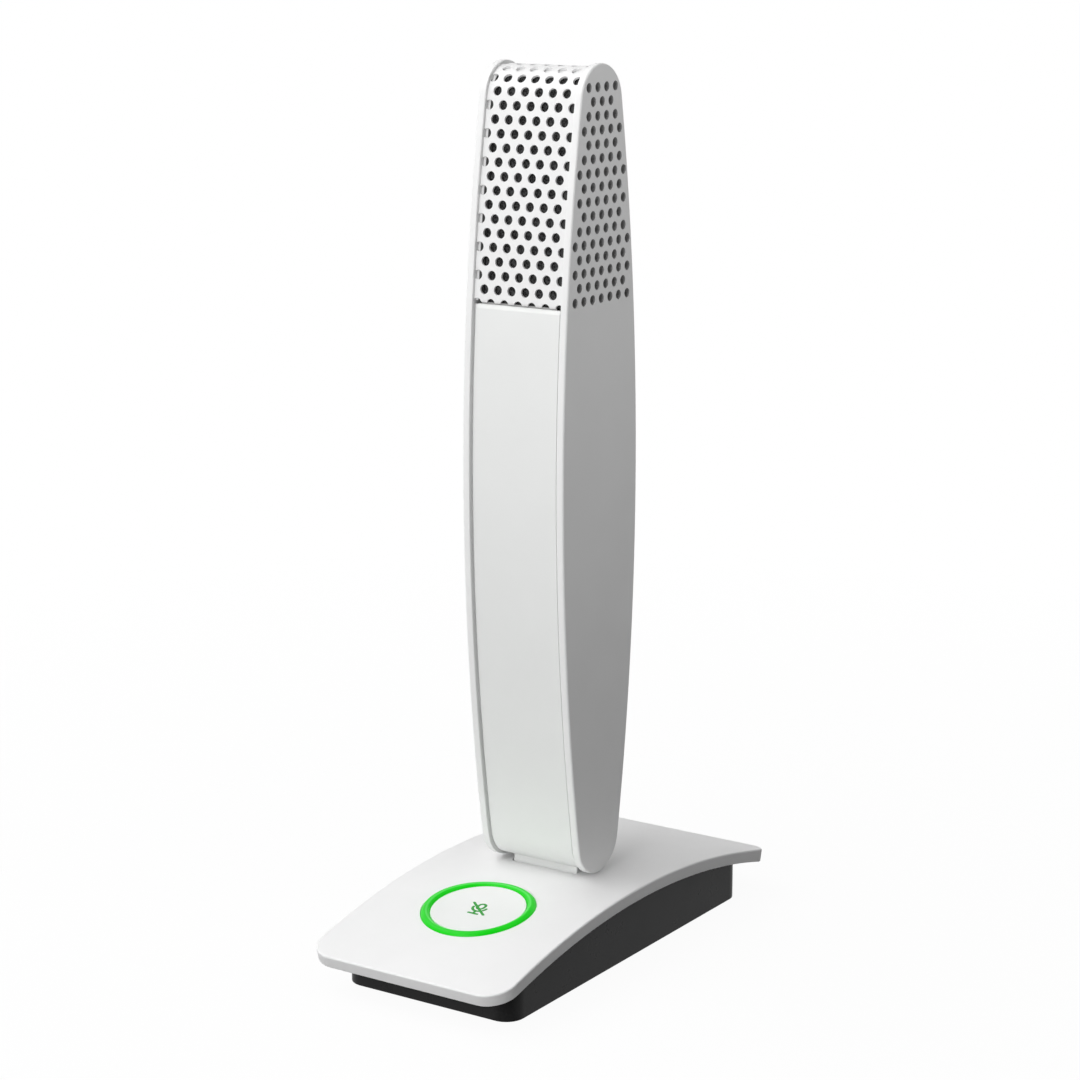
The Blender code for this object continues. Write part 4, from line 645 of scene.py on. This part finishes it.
def cell_loops():
    """The loops round one hole: its cell's border, one between, and the hole's rim."""
    corner = math.atan2(GRILLE_ROW_PITCH, GRILLE_PITCH)
    sides = (((1, -1), (1, 1), -corner, corner), ((1, 1), (-1, 1), corner, math.pi - corner),
             ((-1, 1), (-1, -1), math.pi - corner, math.pi + corner),
             ((-1, -1), (1, -1), math.pi + corner, 2 * math.pi - corner))
    border, angles = [], []
    for (ax, ay), (bx, by), turn_a, turn_b in sides:
        for share in spread(0, 1, GRILLE_CELL_STEPS)[:-1]:
            border.append(((ax + (bx - ax) * share) * GRILLE_PITCH / 2,
                           (ay + (by - ay) * share) * GRILLE_ROW_PITCH / 2))
            angles.append(turn_a + (turn_b - turn_a) * share)
    rim = arc((0, 0), GRILLE_HOLE_RADIUS, angles)
    middle = [((a + c) / 2, (b + d) / 2) for (a, b), (c, d) in zip(border, rim)]
    return border, middle, rim


def flat_sheet(end, half_width):
    """The grille's flat sheet, with rows of six and seven holes; the last row's rest is plain."""
    loops_round = cell_loops()
    bm = bmesh.new()
    first_step = -round((end - GRILLE_FIRST_ROW) / GRILLE_ROW_PITCH)
    last_step = math.floor((end + GRILLE_FIRST_ROW - GRILLE_PITCH / 2) / GRILLE_ROW_PITCH)
    for step in range(first_step, last_step + 1):
        along = step * GRILLE_ROW_PITCH - GRILLE_FIRST_ROW
        count = 6 if step % 2 == 0 else 7
        for i in range(count):
            x = (i - (count - 1) / 2) * GRILLE_PITCH
            loops = [[bm.verts.new((x + a, along + b, 0)) for a, b in loop] for loop in loops_round]
            for outer, inner in zip(loops, loops[1:]):
                for j in range(len(outer)):
                    k = (j + 1) % len(outer)
                    bm.faces.new((outer[j], outer[k], inner[k], inner[j]))
        if count == 6:
            levels = spread(along - GRILLE_ROW_PITCH / 2, along + GRILLE_ROW_PITCH / 2, GRILLE_CELL_STEPS)
            for side in (-1, 1):
                add_grid(bm, [side * 3 * GRILLE_PITCH, side * half_width], levels)
    last = last_step * GRILLE_ROW_PITCH - GRILLE_FIRST_ROW + GRILLE_ROW_PITCH / 2
    columns = [-half_width] + spread(-3 * GRILLE_PITCH, 3 * GRILLE_PITCH, 36) + [half_width]
    add_grid(bm, columns, spread(last, end, 4))
    bmesh.ops.remove_doubles(bm, verts=bm.verts, dist=1e-7)
    for place, normal in (((half_width, 0, 0), (1, 0, 0)), ((-half_width, 0, 0), (-1, 0, 0)),
                          ((0, -end, 0), (0, -1, 0))):
        cut(bm, place, normal, clear_outer=True)
    return bm


def make_grille():
    """The perforated sheet, cut flat, bent over the head, and given its thickness."""
    lens = Lens(FACE_RECESS)
    end = lens.along_to(GRILLE_BOTTOM)
    bm = flat_sheet(end, COLUMN_HALF_WIDTH - COVER_THICKNESS - GRILLE_SIDE_GAP)
    slice_along(bm, spread(-end, SHEET_BEND - end, 4)[1:])
    for vertex in bm.verts:
        past = max(0.0, -vertex.co.y - (end - SHEET_BEND))
        sink = BEND_RADIUS - math.sqrt(BEND_RADIUS ** 2 - past ** 2)
        vertex.co = (vertex.co.x, *lens.point(vertex.co.y, -sink))
    bmesh.ops.recalc_face_normals(bm, faces=bm.faces)
    apex = max(bm.faces, key=lambda face: face.calc_center_median().z)
    if apex.normal.z < 0:
        bmesh.ops.reverse_faces(bm, faces=bm.faces)
    made = link_mesh("grille_sheet", bm)
    sheet = made.modifiers.new("sheet", "SOLIDIFY")
    sheet.thickness = GRILLE_THICKNESS
    sheet.offset = -1
    sheet.use_even_offset = True
    bake(made)
    dress(made, grille_white, "column", ["grille"], sharp=40)


def make_liner():
    """The pale lining behind the grille's edges and the rows over the top, and beside the panels."""
    lens = Lens(FACE_RECESS)
    end = lens.along_to(GRILLE_BOTTOM)
    outer = COLUMN_HALF_WIDTH - COVER_THICKNESS - GRILLE_SIDE_GAP
    bm = bmesh.new()
    for side in (-1, 1):
        edge = (side * outer, side * (outer - LINER_WIDTH))
        add_strip(bm, lens, edge, spread(LINER_END - end, end, 90), LINER_LEVELS)
        seat = (side * outer, side * (PANEL_HALF_WIDTH + SEAT_MARGIN))
        for way in (-1, 1):
            beside = [way * stop for stop in spread(end + SEAT_START, lens.along_to_wrap(PANEL_WRAP), 80)]
            add_strip(bm, lens, seat, beside, SEAT_LEVELS)
    crown = (CROWN_MARGIN - outer, outer - CROWN_MARGIN)
    add_strip(bm, lens, crown, spread(-CROWN_REACH, CROWN_REACH, 16), LINER_LEVELS)
    dress(to_object("grille_liner", bm), lining, "column")


# Front and rear panels

def make_panel(name, side, notch):
    """A panel bent over the column's face: flat outline with small corners, rounded edges, then bent."""
    lens = Lens(FACE_RECESS)
    top = lens.along_to(PANEL_TOP)
    tip = lens.along_to_wrap(PANEL_WRAP)
    edge = lens.along_to_wrap(notch)
    half_notch = NECK_HALF_WIDTH + NOTCH_MARGIN
    outline = [(PANEL_HALF_WIDTH - PANEL_CORNER * (1 - math.sin(turn)),
                top + PANEL_CORNER * (1 - math.cos(turn))) for turn in spread_degrees(0, 90, 3)]
    outline += [(PANEL_HALF_WIDTH, tip), (half_notch, tip), (half_notch, edge)]
    outline += [(-x, along) for x, along in reversed(outline)]
    bm = prism(outline, -PANEL_THICKNESS, 0, upright)
    round_rim(bm, 2, 0, PANEL_FILLET, 4)
    slopes = [top + TOP_SLOPE * share for share in TOP_SLOPE_STOPS]
    slice_along(bm, slopes + spread(top, lens.arc_end, 70)[1:] + spread(lens.arc_end, tip, 26)[1:-1])
    for vertex in bm.verts:
        x, along, level = vertex.co
        short = max(0.0, 1 - (along - top) / TOP_SLOPE)
        level -= TOP_DROP * short * (1 + level / PANEL_THICKNESS)
        vertex.co = (x, *lens.point(along if side > 0 else -along, level))
    made = to_object(name, bm)
    # The tongue behind the grille's lower edge is grey: painted shade for the shade and gap line under the
    # last half holes.
    tongue = bmesh.new()
    ways = [side * way for way in spread(top - TONGUE_OVER, top + TONGUE_UNDER, 4)]
    half_tongue = PANEL_HALF_WIDTH - TONGUE_MARGIN
    add_strip(tongue, lens, (-half_tongue, half_tongue), ways, LINER_LEVELS)
    dress(to_object(name + "_tongue", tongue), tongue_shade_grey, "column")
    dress(made, panel_white, "column", [name])


# Neck

def make_neck():
    """The neck's stem and knuckle, with its small flare into the base plate."""
    tilt = Lens(0.0).low
    meet = math.asin(NECK_HALF_DEPTH / KNUCKLE_RADIUS)
    front = [(-NECK_HALF_DEPTH - NECK_FLARE, PLATE_HEIGHT - PLATE_THICKNESS)]
    front += [(-NECK_HALF_DEPTH - NECK_FLARE * (1 - math.sin(turn)),
               PLATE_HEIGHT + NECK_FLARE_HEIGHT * (1 - math.cos(turn)))
              for turn in spread(0, math.pi / 2, 6)]
    front += [(-KNUCKLE_RADIUS * math.sin(turn), tilt - KNUCKLE_RADIUS * math.cos(turn))
              for turn in spread(meet, math.pi, 28)]
    points = front + [(-y, z) for y, z in reversed(front[:-1])]
    bm = prism(points, -NECK_HALF_WIDTH, NECK_HALF_WIDTH, sideways)
    round_rim(bm, 0, NECK_HALF_WIDTH, NECK_FILLET, 3, mirrored=True)
    dress(to_object("neck_shell", bm), panel_white, "base", ["neck"])


# Base plate, tray, ring and button

def make_plate():
    """The arched slab, with the ring's pocket, the button's well and the neck's slot."""
    front_along = PLATE_ARCH * math.asin((PLATE_FRONT + PLATE_MIDDLE) / PLATE_ARCH)
    rear_along = PLATE_ARCH * math.asin((PLATE_REAR - PLATE_MIDDLE) / PLATE_ARCH)
    outline = corner_points(PLATE_HALF_WIDTH, -front_along, rear_along, PLATE_FRONT_CORNER,
                            PLATE_REAR_CORNER, 18)
    bm = prism(outline, -PLATE_THICKNESS, 0, upright)
    round_rim(bm, 2, 0, PLATE_TOP_FILLET, 4)
    round_rim(bm, 2, -PLATE_THICKNESS, PLATE_UNDER_FILLET, 2)
    slice_along(bm, spread(-front_along, rear_along, 72)[1:-1])
    for vertex in bm.verts:
        past = max(0.0, vertex.co.y - RISE_START) / (rear_along - RISE_START)
        vertex.co.z += REAR_RISE * past ** 2 * (1 + vertex.co.z / PLATE_THICKNESS)
        vertex.co = arch_point(*vertex.co)
    made = to_object("plate_shell", bm)
    place = button_matrix()
    above = place @ Vector((0, 0, CUT_OVER))
    shelf = -(RING_SINK + RING_RADIUS ** 2 / (2 * PLATE_ARCH) + RING_TUBE + GAP)
    pocket = cylinders("pocket", [(place @ Vector((0, 0, shelf)), above)], RING_RADIUS + RING_TUBE + GAP, 128)
    well = cylinders("well", [(place @ Vector((0, 0, -WELL_DEPTH)), above)], BUTTON_RADIUS + GAP, 128)
    half_slot = NECK_HALF_WIDTH + NECK_SLOT_MARGIN
    corners = [(-half_slot, -NECK_SLOT_HALF_DEPTH), (half_slot, -NECK_SLOT_HALF_DEPTH),
               (half_slot, NECK_SLOT_HALF_DEPTH), (-half_slot, NECK_SLOT_HALF_DEPTH)]
    slot = to_object("slot", prism(corners, NECK_SLOT_LOW, NECK_SLOT_HIGH, upright))
    carve(made, [pocket, well, slot])
    dress(made, base_white, "base", ["base_plate"])


def make_tray():
    """The black housing: upright walls under the plate's arc, a rounded foot edge, the socket's port."""
    flat = corner_points(TRAY_HALF_WIDTH, -TRAY_HALF_LENGTH, TRAY_HALF_LENGTH, TRAY_CORNER, TRAY_CORNER, 12)
    bm = prism(flat, TRAY_BOTTOM, TRAY_BLANK_TOP, upright)
    round_rim(bm, 2, TRAY_BOTTOM, TRAY_FILLET, 4)
    slice_along(bm, spread(-TRAY_HALF_LENGTH, TRAY_HALF_LENGTH, 60)[1:-1])
    for vertex in bm.verts:
        if vertex.co.z > TRAY_WALL_TOP:
            vertex.co.z = arch_height(vertex.co.y, -PLATE_THICKNESS) - TRAY_SEAM
    made = to_object("tray_shell", bm)
    below = TRAY_BOTTOM - TRAY_CUT_UNDER
    feet = standing_cylinders("foot_pockets", FOOT_X, FOOT_Y, below, FOOT_SINK, FOOT_RADIUS, 48)
    screws = standing_cylinders("screw_sinks", SCREW_X, SCREW_Y, below, SCREW_SINK, SCREW_RADIUS, 32)
    outline = []
    for side, start in ((1, -90), (-1, 90)):
        outline += arc((side * PORT_HALF_REACH, PORT_HEIGHT), PORT_RADIUS,
                       spread_degrees(start, start + 180, 14))
    port = to_object("port", prism(outline, PORT_FRONT, PORT_REAR, lambda a, b, c: (a, c, b)))
    carve(made, [feet, screws, port])
    dress(made, tray_black, "base", ["base_tray"])


def make_ring():
    """The raised light band, which follows the plate's curve."""
    bm = bmesh.new()
    turns, around = 144, 20
    loops = []
    for i in range(turns):
        angle = 2 * math.pi * i / turns
        outward = Vector((math.cos(angle), math.sin(angle), 0))
        sink = -RING_SINK - (RING_RADIUS * math.sin(angle)) ** 2 / (2 * PLATE_ARCH)
        centre = outward * RING_RADIUS + Vector((0, 0, sink))
        loops.append([bm.verts.new(centre + outward * RING_TUBE * math.cos(turn)
                                   + Vector((0, 0, RING_TUBE * math.sin(turn))))
                      for turn in spread(0, 2 * math.pi, around)[:-1]])
    for i in range(turns):
        here, there = loops[i], loops[(i + 1) % turns]
        bridge(bm, here, there)
    bmesh.ops.transform(bm, matrix=button_matrix(), verts=bm.verts)
    dress(to_object("ring_band", bm), ring_green, "base", ["light_ring"], weighted=False)


def dish_level(radius):
    share = min(1.0, radius / BUTTON_RADIUS)
    return -BUTTON_DISH * (1 - share ** 2)


def make_button():
    """The dished disc with a rounded rim, its skirt, and the hollow over the switch."""
    flat = BUTTON_RADIUS - BUTTON_RIM
    profile = [(flat * share, dish_level(flat * share)) for share in spread(0, 1, 14)]
    profile += [(flat + BUTTON_RIM * math.sin(turn), dish_level(flat) - BUTTON_RIM * (1 - math.cos(turn)))
                for turn in spread(0, math.pi / 2, 6)[1:]]
    profile += [(BUTTON_RADIUS, SKIRT_SHOULDER), (SKIRT_RADIUS, SKIRT_TOP), (SKIRT_RADIUS, SKIRT_FOOT),
                (HOLLOW_RADIUS, SKIRT_FOOT), (HOLLOW_RADIUS, SKIRT_SHOULDER), (0.0, SKIRT_SHOULDER)]
    bm = bmesh.new()
    sides = 112
    turns = [2 * math.pi * i / sides for i in range(sides)]
    loops = [arc((0, 0), radius, turns if radius else [0]) for radius, level in profile]
    top, *rings, under = [[bm.verts.new((x, y, level)) for x, y in loop]
                          for loop, (radius, level) in zip(loops, profile)]
    for i in range(sides):
        bm.faces.new((top[0], rings[0][i], rings[0][(i + 1) % sides]))
    for inner, outer in zip(rings, rings[1:]):
        bridge(bm, inner, outer)
    for i in range(sides):
        bm.faces.new((rings[-1][i], under[0], rings[-1][(i + 1) % sides]))
    bmesh.ops.transform(bm, matrix=button_matrix(), verts=bm.verts)
    dress(to_object("button_cap", bm), button_white, "button", ["mute_button"])


def on_button(point):
    """The place of a print just over the button's dished top."""
    return Vector((point.x, point.y, dish_level(point.length) + MARK_LIFT))


def stroke(bm, points):
    """A flat line with round ends and joints on the button's top, from (x, y) points."""
    for start, end in zip(points, points[1:]):
        start, end = Vector(start), Vector(end)
        way = (end - start).normalized()
        across = Vector((-way.y, way.x)) * MARK_LINE / 2
        rows = []
        for share in spread(0, 1, 8):
            middle = start.lerp(end, share)
            rows.append([bm.verts.new(on_button(middle + across)), bm.verts.new(on_button(middle - across))])
        for a, b in zip(rows, rows[1:]):
            bm.faces.new((a[0], a[1], b[1], b[0]))
    for point in points:
        round_spot(bm, Vector(point))


def round_spot(bm, centre):
    hub = bm.verts.new(on_button(centre))
    rim = [bm.verts.new(on_button(centre + Vector(edge)))
           for edge in arc((0, 0), MARK_LINE / 2, spread(0, 2 * math.pi, 16)[:-1])]
    for i in range(len(rim)):
        bm.faces.new((hub, rim[i], rim[(i + 1) % len(rim)]))


def make_mark():
    """A plain crossed-out microphone sign, printed on the button."""
    bm = bmesh.new()
    top, low, half = 0.0021, 0.0001, 0.0007
    capsule = arc((0, top - half), half, spread(0, math.pi, 10))
    capsule += arc((0, low + half), half, spread(math.pi, 2 * math.pi, 10))
    yoke = arc((0, YOKE_HEIGHT), YOKE_RADIUS, spread(math.pi, 2 * math.pi, 14))
    stem = [(0, -0.00085), (0, -0.0019)]
    foot = [(-0.0010, -0.0019), (0.0010, -0.0019)]
    crossing = [(-0.0023, 0.0020), (0.0023, -0.0017)]
    for points in (capsule + capsule[:1], yoke, stem, foot, crossing):
        stroke(bm, points)
    bmesh.ops.scale(bm, vec=(MARK_SCALE, MARK_SCALE, 1), verts=bm.verts)
    bmesh.ops.transform(bm, matrix=button_matrix(), verts=bm.verts)
    for face in bm.faces:
        face.normal_update()
        if face.normal.z < 0:
            face.normal_flip()
    dress(link_mesh("mute_sign", bm), print_green, "button", weighted=False)


make_cover("side_cover_left", -1)
make_cover("side_cover_right", 1)
make_grille()
make_liner()
make_panel("front_panel", -1, NOTCH_FRONT)
make_panel("rear_panel", 1, NOTCH_REAR)
make_neck()
make_plate()
make_tray()
make_ring()
make_button()
make_mark()


# Stage, light and camera

def dark_flag(tree, place, middle):
    """1 all round a middle, and 0 towards the front right, where a dark card stands."""
    level = vector_step(tree, "MULTIPLY_ADD", place, (1, 1, 0), (-middle[0], -middle[1], 0))
    facing = vector_step(tree, "DOT_PRODUCT", vector_step(tree, "NORMALIZE", level), CARD_DIRECTION)
    return remap(tree, facing, 1.0, 0.0, 0.55, 0.92)


def backdrop_share(tree, place, middle):
    """1 for rays that meet the white backdrop: seen directly, or mirrored away from the dark card."""
    paths = tree.nodes.new("ShaderNodeLightPath")
    direct = combined(tree, "MAXIMUM", paths.outputs["Is Camera Ray"], paths.outputs["Is Transmission Ray"])
    mirrored = combined(tree, "MULTIPLY", paths.outputs["Is Glossy Ray"], dark_flag(tree, place, middle))
    return combined(tree, "MAXIMUM", direct, mirrored)


def blend(tree, factor, first, second):
    made = tree.nodes.new("ShaderNodeMixShader")
    tree.links.new(factor, made.inputs["Fac"])
    tree.links.new(first, made.inputs[1])
    tree.links.new(second, made.inputs[2])
    return made.outputs["Shader"]


def make_floor():
    """A white floor that is dark to bounced light and fades out with distance."""
    bm = bmesh.new()
    bmesh.ops.create_circle(bm, cap_ends=True, segments=96, radius=FLOOR_RADIUS)
    made = to_object("floor", bm)
    made.location = (0, 0, -FLOOR_DROP)
    material, tree, shader, place = node_material("floor", (0.93, 0.93, 0.93), 0.9)
    seen = tint(tree, remap(tree, noise(tree, place, 60.0, 2.0), 0.0, 1.0), (0.925,) * 3, (0.935,) * 3)
    camera_ray = tree.nodes.new("ShaderNodeLightPath").outputs["Is Camera Ray"]
    tree.links.new(tint(tree, camera_ray, (0.06, 0.06, 0.06), seen), shader.inputs["Base Color"])
    shader.inputs["Specular IOR Level"].default_value = 0.1
    backdrop = tree.nodes.new("ShaderNodeEmission")
    backdrop.inputs["Color"].default_value = (1, 1, 1, 1)
    wash = remap(tree, backdrop_share(tree, place, FLOOR_CARD_MIDDLE), 0.0, FLOOR_WASH, 0.0, 1.0)
    washed = blend(tree, wash, shader.outputs["BSDF"], backdrop.outputs["Emission"])
    clear = tree.nodes.new("ShaderNodeBsdfTransparent")
    distance = remap(tree, vector_step(tree, "LENGTH", place), 0.0, 1.0, 0.12, 0.45)
    faded = blend(tree, distance, washed, clear.outputs["BSDF"])
    tree.links.new(faded, tree.nodes["Material Output"].inputs["Surface"])
    made.data.materials.append(material)


def area_light(name, location, target, size, power):
    data = bpy.data.lights.new(name, "AREA")
    data.shape = "RECTANGLE"
    data.size, data.size_y = size
    data.energy = power
    made = bpy.data.objects.new(name, data)
    scene.collection.objects.link(made)
    made.location = location
    made.rotation_euler = (Vector(target) - Vector(location)).to_track_quat("-Z", "Y").to_euler()


def background(tree):
    made = tree.nodes.new("ShaderNodeBackground")
    made.inputs["Color"].default_value = (1, 1, 1, 1)
    return made


def make_world():
    """A white backdrop, and a soft glow from each side that lights the object."""
    world = bpy.data.worlds.new("studio")
    scene.world = world
    world.use_nodes = True
    tree = world.node_tree
    tree.nodes.clear()
    output = tree.nodes.new("ShaderNodeOutputWorld")
    directions = tree.nodes.new("ShaderNodeTexCoord").outputs["Generated"]
    total = None
    for direction, strength in WORLD_GLOWS:
        facing = vector_step(tree, "DOT_PRODUCT", directions, direction)
        share = remap(tree, facing, 0.0, strength, 0.0, 1.0)
        total = share if total is None else combined(tree, "ADD", total, share)
    soft = background(tree)
    tree.links.new(total, soft.inputs["Strength"])
    white = background(tree)
    seen = backdrop_share(tree, directions, (0, 0))
    mixed = blend(tree, seen, soft.outputs["Background"], white.outputs["Background"])
    tree.links.new(mixed, output.inputs["Surface"])


def make_camera():
    """The camera that the photo was taken with, solved from the object's edges."""
    data = bpy.data.cameras.new("camera")
    data.lens = CAMERA_LENS
    data.sensor_width = CAMERA_SENSOR
    data.clip_start = CAMERA_NEAR
    made = bpy.data.objects.new("camera", data)
    scene.collection.objects.link(made)
    made.location = CAMERA_PLACE
    made.rotation_euler = (CAMERA_TILT, 0, CAMERA_TURN)
    scene.camera = made


make_floor()
make_world()
for lamp in LAMPS:
    area_light(*lamp)
make_camera()
scene.view_settings.view_transform = "Standard"
